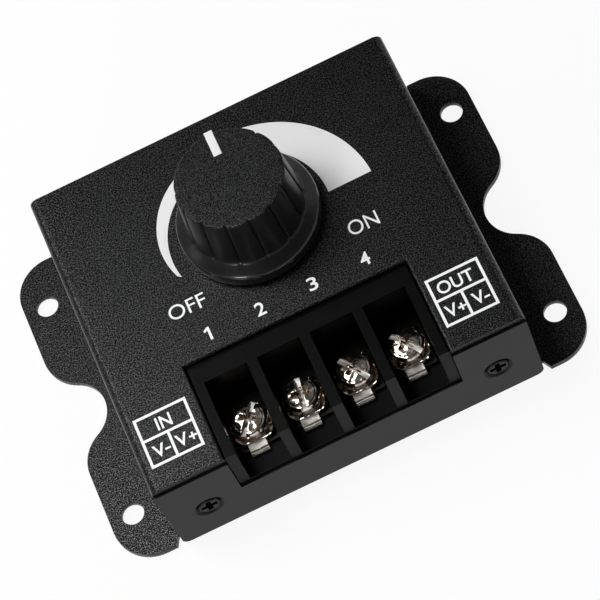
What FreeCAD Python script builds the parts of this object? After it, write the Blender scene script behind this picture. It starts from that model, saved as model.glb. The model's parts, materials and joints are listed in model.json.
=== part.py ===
import FreeCAD, Part

import math
import os

# Rotary dimmer for LED strip: a folded metal case with ears, a knob and four screw terminals.
# Millimetres. +X is the output side, +Y the knob side, -Y the terminals, z = 0 the mounting plane.
# The origin is the middle of the footprint.

Vector = FreeCAD.Vector

# How far a cutter runs past the face that it opens, and how near counts as the same place
overshoot = 1.0
same_place = 0.01

# Case
case_width = 66.5
case_depth = 60.6
case_height = 20.7
sheet = 1.2
inner_bend = 0.4
panel_proud = 0.4
panel_top_gap = 0.4
panel_side_gap = 0.05
panel_corner_radius = 1.4
wall_end_gap = 0.15
tray_side_gap = 0.15

# Mounting ears
ear_width = 10.15
ear_overhang = 0.6
ear_corner_radius = 7.0
bay_depth = 7.2
bay_radius = 6.2
shoulder_radius = 7.0
hole_side_inset = 4.2
hole_end_inset = 8.9
mount_hole_radius = 2.0
notch_side = 0.2
notch_depth = 1.8
notch_mouth = 1.15

# Case screws and the tabs that they hold
case_screw_inset = 7.05
case_screw_board_gap = 0.4
case_screw_radius = 1.5
case_screw_head_radius = 2.6
case_screw_length = 6.0
case_recess_depth = 0.8
case_recess_width = 0.65
case_recess_reach = 1.5
tab_length = 9.0
tab_height = 8.0
thread_gap = 0.05
screw_hole_gap = 0.1

# Terminal block
pitch = 9.5
ways = 4
partition = 1.85
block_length = 18.3
back_wall = 4.1
block_floor_height = 10.6
block_lip = 0.75
window_gap = 0.15
contact_thickness = 0.8
contact_side_gap = 0.3
contact_front = 4.1
contact_back_gap = 0.4
contact_boss_radius = 2.6
contact_boss_height = 1.6
contact_boss_gap = 0.1
pin_width = 1.2
pin_depth = 0.9
pin_spacing = 3.6
pin_back = 1.5
pin_gap = 0.08
screw_setback = 8.1

# Terminal screws and clamp washers
clamp_side_gap = 0.325
clamp_depth = 7.2
clamp_thickness = 1.0
clamp_corner_radius = 1.6
clamp_tab_width = 3.15
clamp_tab_gap = 0.2
clamp_tab_thickness = 0.9
clamp_tab_floor_gap = 0.35
clamp_hook_radius = 0.7
terminal_screw_radius = 1.75
terminal_screw_length = 4.5
terminal_head_radius = 3.15
terminal_head_height = 2.5
terminal_head_edge = 0.7
terminal_slot_width = 0.9
terminal_slot_depth = 0.9
terminal_cross_depth = 1.5
terminal_cross_reach = 1.9
terminal_slot_angles = (52.6, 82.1, 123.7, 126.6)
thread_running_gap = 0.05
clamp_hole_gap = 0.15
well_end_gap = 0.5

# Circuit board and what carries it
board_thickness = 1.6
board_side_gap = 0.8
board_end_gap = 0.4
standoff_height = 3.8
standoff_flats = 5.0
standoff_press_radius = 2.0
standoff_bore_radius = 1.3
standoff_inset_x = 6.2
standoff_inset_y = 9.8
board_screw_radius = 1.25
board_screw_length = 4.8
board_screw_head_radius = 2.3
board_screw_head_height = 1.6
pan_edge_radius = 0.7
pan_recess_reach = 1.4
pan_recess_width = 0.6
pan_recess_depth = 1.0
insulation_thickness = 0.25
insulation_gap = 0.3

# Potentiometer
knob_offset = 7.7
pot_radius = 8.25
pot_depth = 7.0
pot_wall = 0.8
pot_plate_thickness = 0.9
pot_shaft_radius = 3.0
pot_shaft_gap = 0.03
pot_bushing_radius = 3.5
pot_bushing_height = 4.4
pot_hole_gap = 0.1
pot_lug_width = 1.0
pot_lug_thickness = 0.5
pot_lug_spacing = 5.0
pot_lug_reach = 3.0
pot_lug_hold = 3.3
pot_key_width = 2.4
pot_key_thickness = 0.9
pot_key_offset = 6.6
pot_key_gap = 0.1
track_thickness = 0.8
track_gap = 0.6
wiper_gap = 0.4
wiper_thickness = 1.8
washer_radius = 5.6
washer_thickness = 0.6
nut_flats = 10.0
nut_height = 2.0
solder_tip = 0.8
lead_gap = 0.1

# Knob
knob_gap = 0.6
skirt_radius = 12.35
skirt_thickness = 2.4
skirt_edge_radius = 0.9
skirt_rise = 1.3
flute_count = 14
flute_depth = 0.3
foot_radius = 10.25
top_radius = 9.3
knob_height = 15.3
knob_wall = 1.6
knob_top_thickness = 2.0
knob_boss_radius = 4.9
knob_nut_gap = 0.6
shaft_end_gap = 0.4
shaft_grip = 7.5
shaft_flat = 1.5
bore_gap = 0.02
pointer_width = 1.7
pointer_inner = 4.8
pointer_depth = 0.4
pointer_corner_radius = 0.5

# Power transistors
transistor_width = 10.0
transistor_length = 9.0
transistor_height = 4.4
transistor_tab_length = 6.4
transistor_tab_thickness = 1.3
transistor_spacing = 12.0
transistor_wall_gap = 2.5
lead_width = 0.8
lead_thickness = 0.5
lead_pitch = 2.54
lead_rise = 2.2
lead_reach = 2.6
spreader_thickness = 1.5
spreader_margin = 1.0
transistor_screw_radius = 1.5
transistor_screw_head_radius = 2.7
transistor_screw_head_height = 1.8
transistor_nut_flats = 5.5
transistor_nut_height = 2.2

# Other parts on the board
part_gap = 1.0
capacitor_radius = 5.0
capacitor_roof_gap = 1.1
capacitor_edge_radius = 0.6
capacitor_groove_height = 1.8
capacitor_groove_width = 0.6
capacitor_groove_depth = 0.3
capacitor_lead_spacing = 5.0
wire_radius = 0.3
chip_length = 9.4
chip_width = 6.3
chip_thickness = 3.3
chip_standoff = 0.5
chip_notch_radius = 1.0
chip_notch_depth = 0.5
chip_leads_per_side = 4
chip_inset = 6.65
chip_lead_overhang = 0.6
regulator_radius = 2.3
regulator_flat = 1.4
regulator_height = 4.8
regulator_lead_height = 1.5
regulator_offset = 11.0
film_length = 7.2
film_width = 2.6
film_height = 6.6
film_edge_radius = 0.4
film_standoff = 0.3
film_offset = 12.0
film_lead_spacing = 5.0
resistor_count = 6
resistor_length = 2.0
resistor_width = 1.25
resistor_height = 0.55
resistor_spacing = 3.0
resistor_block_gap = 2.4

# Worked out from the sizes above
half_width = case_width / 2
half_depth = case_depth / 2
inner_half_width = half_width - sheet
outer_bend = inner_bend + sheet
roof_underside = case_height - sheet
ear_reach = half_width + ear_width
ear_length = case_depth + 2 * ear_overhang
hole_x = ear_reach - hole_side_inset
hole_y = ear_length / 2 - hole_end_inset
panel_outer_y = half_depth + panel_proud
panel_inner_y = panel_outer_y - sheet
wall_end_y = panel_inner_y - wall_end_gap
tab_inner_y = wall_end_y - sheet
case_screw_x = half_width - case_screw_inset

board_bottom = sheet + standoff_height
board_top = board_bottom + board_thickness
board_half_width = inner_half_width - board_side_gap
board_half_depth = tab_inner_y - board_end_gap
standoff_x = half_width - standoff_inset_x
standoff_y = half_depth - standoff_inset_y
case_screw_height = board_top + case_screw_board_gap + case_screw_radius
capacitor_height = roof_underside - capacitor_roof_gap - board_top

block_half_width = (ways * pitch + partition) / 2
block_front_y = -half_depth
block_back_y = block_front_y + block_length
pocket_back_y = block_back_y - back_wall
pocket_width = pitch - partition
clamp_width = pocket_width - 2 * clamp_side_gap
window_half_width = block_half_width + window_gap
lip_bottom = block_floor_height - block_lip
window_bottom = lip_bottom - window_gap
way_x = [pitch * (way - (ways - 1) / 2) for way in range(ways)]
terminal_y = block_front_y + screw_setback
contact_top = block_floor_height + contact_thickness
clamp_top = contact_top + clamp_thickness
contact_front_y = block_front_y + contact_front

pot_top = roof_underside - pot_plate_thickness
pot_bottom = pot_top - pot_depth
bushing_top = case_height + pot_bushing_height
knob_bottom = case_height + knob_gap
knob_top = case_height + knob_height
skirt_top = knob_bottom + skirt_thickness
foot_height = skirt_top + skirt_rise
boss_bottom = bushing_top + knob_nut_gap
shaft_top = boss_bottom + shaft_grip
flat_bottom = boss_bottom - shaft_end_gap
track_bottom = pot_bottom + pot_wall + track_gap
track_top = track_bottom + track_thickness
wiper_bottom = track_top + wiper_gap
wiper_top = wiper_bottom + wiper_thickness


def box(x0, x1, y0, y1, z0, z1):
    return Part.makeBox(x1 - x0, y1 - y0, z1 - z0, Vector(x0, y0, z0))


def rod(radius, z0, z1, x=0.0, y=0.0):
    return Part.makeCylinder(radius, z1 - z0, Vector(x, y, z0))


def rod_along_y(radius, y0, y1, x, z):
    return Part.makeCylinder(radius, y1 - y0, Vector(x, y0, z), Vector(0, 1, 0))


def prism(points, z0, z1):
    corners = [Vector(x, y, z0) for x, y in points]
    outline = Part.makePolygon(corners + corners[:1])
    return Part.Face(outline).extrude(Vector(0, 0, z1 - z0))


def hexagon(flats, z0, z1, x, y):
    radius = flats / math.sqrt(3)
    turns = [math.radians(60 * corner) for corner in range(6)]
    return prism([(x + radius * math.cos(turn), y + radius * math.sin(turn)) for turn in turns], z0, z1)


def lathe(profile, x=0.0, y=0.0):
    # The profile is a list of (radius, height) corners, turned about a vertical axis.
    corners = [Vector(x + radius, y, z) for radius, z in profile]
    outline = Part.makePolygon(corners + corners[:1])
    return Part.Face(outline).revolve(Vector(x, y, 0), Vector(0, 0, 1), 360)


def fuse(shapes):
    return shapes[0].multiFuse(shapes[1:]).removeSplitter()


def vertical_edges(solid):
    return [edge for edge in solid.Edges if abs(edge.tangentAt(edge.FirstParameter).z) > 1 - same_place]


def arc(start, middle, end):
    return Part.Arc(start, middle, end).toShape()


def export(node, shapes):
    solids = shapes if isinstance(shapes, list) else [shapes]
    whole = solids[0] if len(solids) == 1 else Part.makeCompound(solids)
    whole.exportStep("parts/" + node + ".step")
    print(node, len(whole.Solids), "solid(s)", round(whole.Volume, 1), "mm3")


def corners_of(x, y):
    return [(x, y), (-x, y), (x, -y), (-x, -y)]


# Cover

def folded_sheet():
    # The hat section: ears, side walls and top in one folded sheet, along the whole length of the ears.
    profile = [
        (-ear_reach, 0), (-inner_half_width, 0), (-inner_half_width, roof_underside),
        (inner_half_width, roof_underside), (inner_half_width, 0), (ear_reach, 0),
        (ear_reach, sheet), (half_width, sheet), (half_width, case_height),
        (-half_width, case_height), (-half_width, sheet), (-ear_reach, sheet),
    ]
    corners = [Vector(x, -ear_length / 2, z) for x, z in profile]
    outline = Part.makePolygon(corners + corners[:1])
    solid = Part.Face(outline).extrude(Vector(0, ear_length, 0))
    outside = [(half_width, case_height), (inner_half_width, 0)]
    inside = [(inner_half_width, roof_underside), (half_width, sheet)]
    for folds, radius in ((outside, outer_bend), (inside, inner_bend)):
        edges = []
        for edge in solid.Edges:
            middle = edge.CenterOfMass
            lengthwise = abs(edge.Length - ear_length) < same_place
            on_fold = any(math.hypot(abs(middle.x) - x, middle.z - z) < same_place for x, z in folds)
            if lengthwise and on_fold:
                edges.append(edge)
        solid = solid.makeFillet(radius, edges)
    return solid


def ear_edges(side):
    # One ear's outline from its front inner corner to its rear one: round corners and a round bay between
    # two round shoulders.
    end_y = ear_length / 2
    mouth_x = half_width + notch_mouth
    corner_x = ear_reach - ear_corner_radius
    corner_y = end_y - ear_corner_radius
    shoulder_x = ear_reach - shoulder_radius
    bay_x = ear_reach - bay_depth + bay_radius
    reach = shoulder_radius + bay_radius
    shoulder_y = math.sqrt(reach ** 2 - (bay_x - shoulder_x) ** 2)
    touch_x = shoulder_x + (bay_x - shoulder_x) * shoulder_radius / reach
    touch_y = shoulder_y - shoulder_y * shoulder_radius / reach
    half_turn = math.atan2(shoulder_y, bay_x - shoulder_x) / 2
    diagonal = math.sqrt(0.5)

    def at(x, y):
        return Vector(side * x, y, 0)

    def corner(sign):
        out = ear_corner_radius * diagonal
        middle = at(corner_x + out, sign * (corner_y + out))
        ends = (at(corner_x, sign * end_y), at(ear_reach, sign * corner_y))
        return ends[0], middle, ends[1]

    def shoulder(sign):
        middle_x = shoulder_x + shoulder_radius * math.cos(half_turn)
        middle_y = shoulder_y - shoulder_radius * math.sin(half_turn)
        return at(ear_reach, sign * shoulder_y), at(middle_x, sign * middle_y), at(touch_x, sign * touch_y)

    front_end, front_middle, front_side = corner(-1)
    rear_end, rear_middle, rear_side = corner(1)
    front_shoulder = shoulder(-1)
    rear_shoulder = shoulder(1)
    return [
        Part.LineSegment(at(mouth_x, -end_y), front_end).toShape(),
        arc(front_end, front_middle, front_side),
        Part.LineSegment(front_side, front_shoulder[0]).toShape(),
        arc(*front_shoulder),
        arc(front_shoulder[2], at(ear_reach - bay_depth, 0), rear_shoulder[2]),
        arc(rear_shoulder[2], rear_shoulder[1], rear_shoulder[0]),
        Part.LineSegment(rear_shoulder[0], rear_side).toShape(),
        arc(rear_side, rear_middle, rear_end),
        Part.LineSegment(rear_end, at(mouth_x, end_y)).toShape(),
    ]


def flat_outline():
    # The whole cover seen from above, with a relief notch where each wall meets an ear.
    edges = ear_edges(1) + ear_edges(-1)
    mouth_x = half_width + notch_mouth
    apex_x = half_width + notch_side
    apex_y = ear_length / 2 - notch_depth
    for y_side in (-1, 1):
        chain = [
            (-mouth_x, ear_length / 2), (-apex_x, apex_y), (-half_width, half_depth),
            (half_width, half_depth), (apex_x, apex_y), (mouth_x, ear_length / 2),
        ]
        points = [Vector(x, y_side * y, 0) for x, y in chain]
        for start, end in zip(points, points[1:]):
            edges.append(Part.LineSegment(start, end).toShape())
    wire = Part.Wire(Part.__sortEdges__(edges))
    return Part.Face(wire).extrude(Vector(0, 0, case_height + sheet))


def cover_shell():
    shell = folded_sheet().common(flat_outline())
    openings = []
    for y0, y1 in ((-ear_length, -wall_end_y), (wall_end_y, ear_length)):
        reach = half_width + notch_side
        openings.append(box(-reach, reach, y0, y1, -sheet, case_height - outer_bend))
    window_back = block_back_y + window_gap
    openings.append(box(-window_half_width, window_half_width, -ear_length, window_back,
                        roof_underside - outer_bend, case_height + sheet))
    openings.append(rod(pot_bushing_radius + pot_hole_gap, 0, case_height + sheet, 0, knob_offset))
    key_half = pot_key_width / 2 + pot_key_gap
    key_y = knob_offset + pot_key_offset
    openings.append(box(-key_half, key_half, key_y - pot_key_gap, key_y + pot_key_thickness + pot_key_gap,
                        roof_underside - outer_bend, case_height + sheet))
    for x, y in corners_of(hole_x, hole_y):
        openings.append(rod(mount_hole_radius, -sheet, 2 * sheet, x, y))
    shell = shell.cut(Part.makeCompound(openings))
    return fuse([shell] + [case_tab(x_side, y_side) for x_side in (-1, 1) for y_side in (-1, 1)])


def case_tab(x_side, y_side):
    # A tab folded in from the end of a side wall, with the thread for a case screw.
    x_ends = sorted((x_side * (inner_half_width + sheet / 2), x_side * (inner_half_width - tab_length)))
    y_ends = sorted((y_side * tab_inner_y, y_side * wall_end_y))
    low = case_screw_height - tab_height / 2
    tab = box(x_ends[0], x_ends[1], y_ends[0], y_ends[1], low, low + tab_height)
    hole = rod_along_y(case_screw_radius + thread_gap, y_ends[0] - sheet, y_ends[1] + sheet,
                       x_side * case_screw_x, case_screw_height)
    return tab.cut(hole)


# Base tray

def tray_panel(y_side):
    half = half_width - panel_side_gap
    y_ends = sorted((y_side * panel_inner_y, y_side * panel_outer_y))
    panel = box(-half, half, y_ends[0], y_ends[1], 0, roof_underside - panel_top_gap)
    corners = [edge for edge in panel.Edges
               if edge.CenterOfMass.z < same_place and abs(edge.CenterOfMass.x) > half - same_place]
    return panel.makeFillet(panel_corner_radius, corners)


def countersunk_hole(x_side, y_side):
    # Clearance through the panel, and a 90 degree cone that holds the head flush.
    head = case_screw_head_radius + thread_gap
    shank = case_screw_radius + screw_hole_gap
    face = y_side * panel_outer_y
    inward = Vector(0, -y_side, 0)
    at = Vector(x_side * case_screw_x, face, case_screw_height)
    cone = Part.makeCone(head, shank, head - shank, at, inward)
    return cone.fuse(Part.makeCylinder(shank, 2 * sheet, at, inward))


def base_tray():
    floor_half = inner_half_width - tray_side_gap
    floor = box(-floor_half, floor_half, -panel_inner_y - sheet / 2, panel_inner_y + sheet / 2, 0, sheet)
    tray = fuse([floor, tray_panel(-1), tray_panel(1)])
    holes = [box(-window_half_width, window_half_width, -ear_length, 0, window_bottom, case_height)]
    for x_side in (-1, 1):
        for y_side in (-1, 1):
            holes.append(countersunk_hole(x_side, y_side))
    for x, y in corners_of(standoff_x, standoff_y):
        holes.append(rod(standoff_press_radius, -sheet, 2 * sheet, x, y))
    return tray.cut(Part.makeCompound(holes))


def case_screws(y_side):
    screws = []
    for x_side in (-1, 1):
        inward = Vector(0, -y_side, 0)
        at = Vector(x_side * case_screw_x, y_side * panel_outer_y, case_screw_height)
        cone_height = case_screw_head_radius - case_screw_radius
        head = Part.makeCone(case_screw_head_radius, case_screw_radius, cone_height, at, inward)
        shank = Part.makeCylinder(case_screw_radius, case_screw_length, at, inward)
        reach = case_recess_reach
        half = case_recess_width / 2
        y_ends = sorted((y_side * (panel_outer_y - case_recess_depth), y_side * (panel_outer_y + overshoot)))
        level = box(at.x - reach, at.x + reach, y_ends[0], y_ends[1], at.z - half, at.z + half)
        upright = box(at.x - half, at.x + half, y_ends[0], y_ends[1], at.z - reach, at.z + reach)
        screws.append(fuse([head, shank]).cut(level.fuse(upright)))
    return screws


# Terminal block

def terminal_block():
    behind_panel = -(panel_inner_y - wall_end_gap)
    base = box(-block_half_width, block_half_width, behind_panel, block_back_y, board_top, case_height)
    nose = box(-block_half_width, block_half_width, block_front_y, behind_panel + sheet,
               lip_bottom, case_height)
    block = fuse([base, nose])
    hollows = []
    well_bottom = clamp_top - terminal_screw_length - well_end_gap
    for x in way_x:
        half = pocket_width / 2
        hollows.append(box(x - half, x + half, -ear_length, pocket_back_y,
                           block_floor_height, case_height + overshoot))
        hollows.append(rod(contact_boss_radius + contact_boss_gap, well_bottom, case_height, x, terminal_y))
        hollows += contact_pins(x, board_top - overshoot, pin_gap)
    return block.cut(Part.makeCompound(hollows))


def contact_pins(x, bottom, gap):
    pins = []
    pin_y = pocket_back_y - contact_back_gap - pin_back
    for pin_x in (x - pin_spacing / 2, x + pin_spacing / 2):
        half = pin_width / 2 + gap
        half_depth_y = pin_depth / 2 + gap
        pins.append(box(pin_x - half, pin_x + half, pin_y - half_depth_y, pin_y + half_depth_y,
                        bottom, contact_top - contact_thickness / 2))
    return pins


def terminal_contact(x):
    half = pocket_width / 2 - contact_side_gap
    plate = box(x - half, x + half, contact_front_y, pocket_back_y - contact_back_gap,
                block_floor_height, contact_top)
    boss = rod(contact_boss_radius, block_floor_height - contact_boss_height, contact_top, x, terminal_y)
    contact = fuse([plate, boss] + contact_pins(x, board_bottom - solder_tip, 0))
    return contact.cut(rod(terminal_screw_radius + thread_running_gap, 0, case_height, x, terminal_y))


def clamp_washer(x):
    half = clamp_width / 2
    front = terminal_y - clamp_depth / 2
    back = terminal_y + clamp_depth / 2
    plate = box(x - half, x + half, front, back, contact_top, clamp_top)
    plate = plate.makeFillet(clamp_corner_radius, vertical_edges(plate))
    tab_half = clamp_tab_width / 2
    hook_back = contact_front_y - clamp_tab_gap
    hook_front = hook_back - clamp_tab_thickness
    bridge = box(x - tab_half, x + tab_half, hook_front, front + clamp_corner_radius, contact_top, clamp_top)
    outer = [edge for edge in bridge.Edges
             if math.hypot(edge.CenterOfMass.y - hook_front, edge.CenterOfMass.z - clamp_top) < same_place]
    bridge = bridge.makeFillet(clamp_hook_radius, outer)
    hook = box(x - tab_half, x + tab_half, hook_front, hook_back,
               block_floor_height + clamp_tab_floor_gap, contact_top)
    hole = rod(terminal_screw_radius + clamp_hole_gap, 0, case_height, x, terminal_y)
    return fuse([plate, bridge, hook]).cut(hole)


def terminal_screw(x, slot_angle):
    top = clamp_top + terminal_head_height
    shoulder = top - terminal_head_edge
    profile = [
        (0, clamp_top - terminal_screw_length), (terminal_screw_radius, clamp_top - terminal_screw_length),
        (terminal_screw_radius, clamp_top), (terminal_head_radius, clamp_top),
        (terminal_head_radius, shoulder), (terminal_head_radius - terminal_head_edge, top), (0, top),
    ]
    screw = lathe(profile, x, terminal_y)
    half = terminal_slot_width / 2
    reach = terminal_head_radius + overshoot
    arm = terminal_cross_reach
    high = top + overshoot
    slot = box(-reach, reach, -half, half, top - terminal_slot_depth, high)
    cross = box(-half, half, -arm, arm, top - terminal_cross_depth, high)
    centre = box(-arm, arm, -half, half, top - terminal_cross_depth, high)
    recess = fuse([slot, cross, centre])
    recess.rotate(Vector(0, 0, 0), Vector(0, 0, 1), slot_angle)
    recess.translate(Vector(x, terminal_y, 0))
    return screw.cut(recess)


# Circuit board and its carriers

def circuit_board():
    board = box(-board_half_width, board_half_width, -board_half_depth, board_half_depth,
                board_bottom, board_top)
    holes = []
    for x, y in corners_of(standoff_x, standoff_y):
        holes.append(rod(board_screw_radius + screw_hole_gap, 0, case_height, x, y))
    for x in way_x:
        holes += contact_pins(x, 0, lead_gap)
    for x in pot_lug_x():
        half = pot_lug_width / 2 + lead_gap
        y = pot_lug_y()
        holes.append(box(x - half, x + half, y - lead_gap, y + pot_lug_thickness + lead_gap, 0, case_height))
    for x, y in transistor_holes():
        holes.append(rod(transistor_screw_radius + screw_hole_gap, 0, case_height, x, y))
    for x, y in transistor_lead_places():
        half = lead_width / 2 + lead_gap
        holes.append(box(x - lead_gap, x + lead_thickness + lead_gap, y - half, y + half, 0, case_height))
    for x, y in wire_places():
        holes.append(rod(wire_radius + lead_gap, 0, case_height, x, y))
    return board.cut(Part.makeCompound(holes))


def board_standoff(x, y):
    pressed = rod(standoff_press_radius, 0, sheet, x, y)
    post = hexagon(standoff_flats, sheet, board_bottom, x, y)
    return fuse([pressed, post]).cut(rod(standoff_bore_radius, -sheet, case_height, x, y))


def pan_screw(radius, length, head_radius, head_height, seat, x, y):
    shank = rod(radius, seat - length, seat, x, y)
    top = seat + head_height
    head = rod(head_radius, seat, top, x, y)
    rim = [edge for edge in head.Edges if edge.CenterOfMass.z > top - same_place and edge.Closed]
    head = head.makeFillet(pan_edge_radius, rim)
    arm = pan_recess_reach
    half = pan_recess_width / 2
    low = top - pan_recess_depth
    high = top + overshoot
    recess = fuse([box(x - arm, x + arm, y - half, y + half, low, high),
                   box(x - half, x + half, y - arm, y + arm, low, high)])
    return fuse([shank, head]).cut(recess)


def board_screw(x, y):
    return pan_screw(board_screw_radius, board_screw_length, board_screw_head_radius,
                     board_screw_head_height, board_top, x, y)


def insulating_sheet():
    half_x = board_half_width - insulation_gap
    half_y = board_half_depth - insulation_gap
    liner = box(-half_x, half_x, -half_y, half_y, sheet, sheet + insulation_thickness)
    holes = [rod(standoff_flats / math.sqrt(3) + insulation_gap, 0, 2 * sheet, x, y)
             for x, y in corners_of(standoff_x, standoff_y)]
    return liner.cut(Part.makeCompound(holes))


# Potentiometer

def pot_front_plate():
    plate = rod(pot_radius, pot_top, roof_underside, 0, knob_offset)
    bushing = rod(pot_bushing_radius, pot_top, bushing_top, 0, knob_offset)
    half = pot_key_width / 2
    key_y = knob_offset + pot_key_offset
    key = box(-half, half, key_y, key_y + pot_key_thickness, pot_top, case_height)
    bore = rod(pot_shaft_radius + pot_shaft_gap, 0, bushing_top + overshoot, 0, knob_offset)
    return fuse([plate, bushing, key]).cut(bore)


def pot_housing():
    can = rod(pot_radius, pot_bottom, pot_top, 0, knob_offset)
    hollow = rod(pot_radius - pot_wall, pot_bottom + pot_wall, pot_top, 0, knob_offset)
    exit_half = pot_lug_spacing + pot_lug_width
    lug_exit = box(-exit_half, exit_half, knob_offset - 2 * pot_radius, pot_lug_inner_y() + lead_gap,
                   track_bottom - pot_lug_thickness, track_bottom)
    return can.cut(Part.makeCompound([hollow, lug_exit]))


def pot_track():
    return rod(pot_radius - pot_wall, track_bottom, track_top, 0, knob_offset).cut(
        rod(pot_shaft_radius + wiper_gap, 0, case_height, 0, knob_offset))


def pot_wiper():
    return rod(pot_radius - pot_wall - wiper_gap, wiper_bottom, wiper_top, 0, knob_offset).cut(
        rod(pot_shaft_radius, 0, case_height, 0, knob_offset))


def pot_shaft():
    low = pot_bottom + pot_wall + wiper_gap
    shaft = rod(pot_shaft_radius, low, shaft_top, 0, knob_offset)
    flat = box(-pot_shaft_radius, pot_shaft_radius, knob_offset - 2 * pot_shaft_radius,
               knob_offset - pot_shaft_radius + shaft_flat, flat_bottom, shaft_top + overshoot)
    return shaft.cut(flat)


def pot_lug_x():
    return [-pot_lug_spacing, 0.0, pot_lug_spacing]


def pot_lug_y():
    return knob_offset - pot_radius - pot_lug_reach


def pot_lug_inner_y():
    return knob_offset - pot_radius + pot_lug_hold


def pot_lug(x):
    # From under the track, out through the can's side, and down into the board.
    half = pot_lug_width / 2
    arm = box(x - half, x + half, pot_lug_y(), pot_lug_inner_y(),
              track_bottom - pot_lug_thickness, track_bottom)
    leg = box(x - half, x + half, pot_lug_y(), pot_lug_y() + pot_lug_thickness,
              board_bottom - solder_tip, track_bottom)
    return fuse([arm, leg])


def pot_washer():
    return rod(washer_radius, case_height, case_height + washer_thickness, 0, knob_offset).cut(
        rod(pot_bushing_radius + thread_gap, 0, bushing_top, 0, knob_offset))


def pot_nut():
    low = case_height + washer_thickness
    return hexagon(nut_flats, low, low + nut_height, 0, knob_offset).cut(
        rod(pot_bushing_radius + thread_gap, 0, bushing_top, 0, knob_offset))


# Knob

def fluted_wire(crest_radius, z):
    # One arc for each lobe, meeting the next one in a sharp groove.
    step = 2 * math.pi / flute_count
    first = -math.pi / 2
    edges = []
    for lobe in range(flute_count):
        turns = [first + step * (lobe + part) for part in (0, 0.5, 1)]
        radii = [crest_radius - flute_depth, crest_radius, crest_radius - flute_depth]
        points = [Vector(radius * math.cos(turn), knob_offset + radius * math.sin(turn), z)
                  for radius, turn in zip(radii, turns)]
        edges.append(arc(*points))
    return Part.Wire(edges)


def knob_grip():
    # The fluted part, which narrows towards the top.
    wires = [fluted_wire(foot_radius, skirt_top), fluted_wire(top_radius, knob_top)]
    return Part.makeLoft(wires, True, True)


def knob_skirt():
    skirt = lathe([
        (0, knob_bottom), (skirt_radius, knob_bottom), (skirt_radius, skirt_top),
        (foot_radius - flute_depth, foot_height), (0, foot_height),
    ], 0, knob_offset)
    rim = [edge for edge in skirt.Edges
           if edge.Closed and abs(edge.CenterOfMass.z - skirt_top) < same_place]
    return skirt.makeFillet(skirt_edge_radius, rim)


def knob():
    hollow_radius = top_radius - flute_depth - knob_wall
    hollow = rod(hollow_radius, knob_bottom - overshoot, knob_top - knob_top_thickness, 0, knob_offset)
    boss = rod(knob_boss_radius, boss_bottom, knob_top - knob_top_thickness / 2, 0, knob_offset)
    shell = fuse([knob_grip(), knob_skirt()]).cut(hollow)
    solid = fuse([shell, boss])
    groove = pointer_bar(foot_radius, knob_top + overshoot)
    return solid.cut(Part.makeCompound([shaft_bore(), groove]))


def shaft_bore():
    top = shaft_top + shaft_end_gap
    bore = rod(pot_shaft_radius + bore_gap, boss_bottom - overshoot, top, 0, knob_offset)
    flat_y = knob_offset - pot_shaft_radius + shaft_flat - bore_gap
    flat = box(-2 * pot_shaft_radius, 2 * pot_shaft_radius, knob_offset - 3 * pot_shaft_radius, flat_y,
               boss_bottom - 2 * overshoot, top + overshoot)
    return bore.cut(flat)


def pointer_bar(reach, top):
    half = pointer_width / 2
    return box(-half, half, knob_offset + pointer_inner, knob_offset + reach, knob_top - pointer_depth, top)


def knob_pointer():
    # The white inlay reaches as far as the crests of the lobes, where its corners are round.
    bar = pointer_bar(top_radius, knob_top)
    corners = [edge for edge in vertical_edges(bar)
               if edge.CenterOfMass.y > knob_offset + top_radius - same_place]
    return bar.makeFillet(pointer_corner_radius, corners)


# Power transistors

def transistor_tab_x():
    return -(inner_half_width - transistor_wall_gap)


def transistor_rows():
    # The pair sits midway between the terminal block and the rear board screws.
    middle = (block_back_y + standoff_y - board_screw_head_radius) / 2
    return [middle - transistor_spacing / 2, middle + transistor_spacing / 2]


def transistor_holes():
    return [(transistor_tab_x() + transistor_tab_length / 2, y) for y in transistor_rows()]


def transistor_lead_places():
    x = transistor_tab_x() + transistor_tab_length + transistor_length + lead_reach
    return [(x, y + lead_pitch * lead) for y in transistor_rows() for lead in (-1, 0, 1)]


def transistor_tab(y):
    base = board_top + spreader_thickness
    x = transistor_tab_x()
    tab = box(x, x + transistor_tab_length, y - transistor_width / 2, y + transistor_width / 2,
              base, base + transistor_tab_thickness)
    hole = rod(transistor_screw_radius + screw_hole_gap, 0, case_height, x + transistor_tab_length / 2, y)
    return tab.cut(hole)


def transistor_body(y):
    base = board_top + spreader_thickness
    x = transistor_tab_x() + transistor_tab_length
    return box(x, x + transistor_length, y - transistor_width / 2, y + transistor_width / 2,
               base, base + transistor_height)


def transistor_lead(x, y):
    body_end = transistor_tab_x() + transistor_tab_length + transistor_length
    low = board_top + spreader_thickness + lead_rise
    half = lead_width / 2
    arm = box(body_end, x + lead_thickness, y - half, y + half, low, low + lead_thickness)
    leg = box(x, x + lead_thickness, y - half, y + half, board_bottom - solder_tip, low + lead_thickness)
    return fuse([arm, leg])


def heat_spreader():
    rows = transistor_rows()
    x = transistor_tab_x()
    end = x + transistor_tab_length + transistor_length
    half = transistor_width / 2 + spreader_margin
    plate = box(x - spreader_margin, end, rows[0] - half, rows[1] + half,
                board_top, board_top + spreader_thickness)
    holes = [rod(transistor_screw_radius + screw_hole_gap, 0, case_height, hole_x, y)
             for hole_x, y in transistor_holes()]
    return plate.cut(Part.makeCompound(holes))


def transistor_screw(x, y):
    seat = board_top + spreader_thickness + transistor_tab_thickness
    length = seat - board_bottom + transistor_nut_height
    return pan_screw(transistor_screw_radius, length, transistor_screw_head_radius,
                     transistor_screw_head_height, seat, x, y)


def transistor_nut(x, y):
    return hexagon(transistor_nut_flats, board_bottom - transistor_nut_height, board_bottom, x, y).cut(
        rod(transistor_screw_radius + thread_gap, 0, case_height, x, y))


# Other parts on the board

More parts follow.
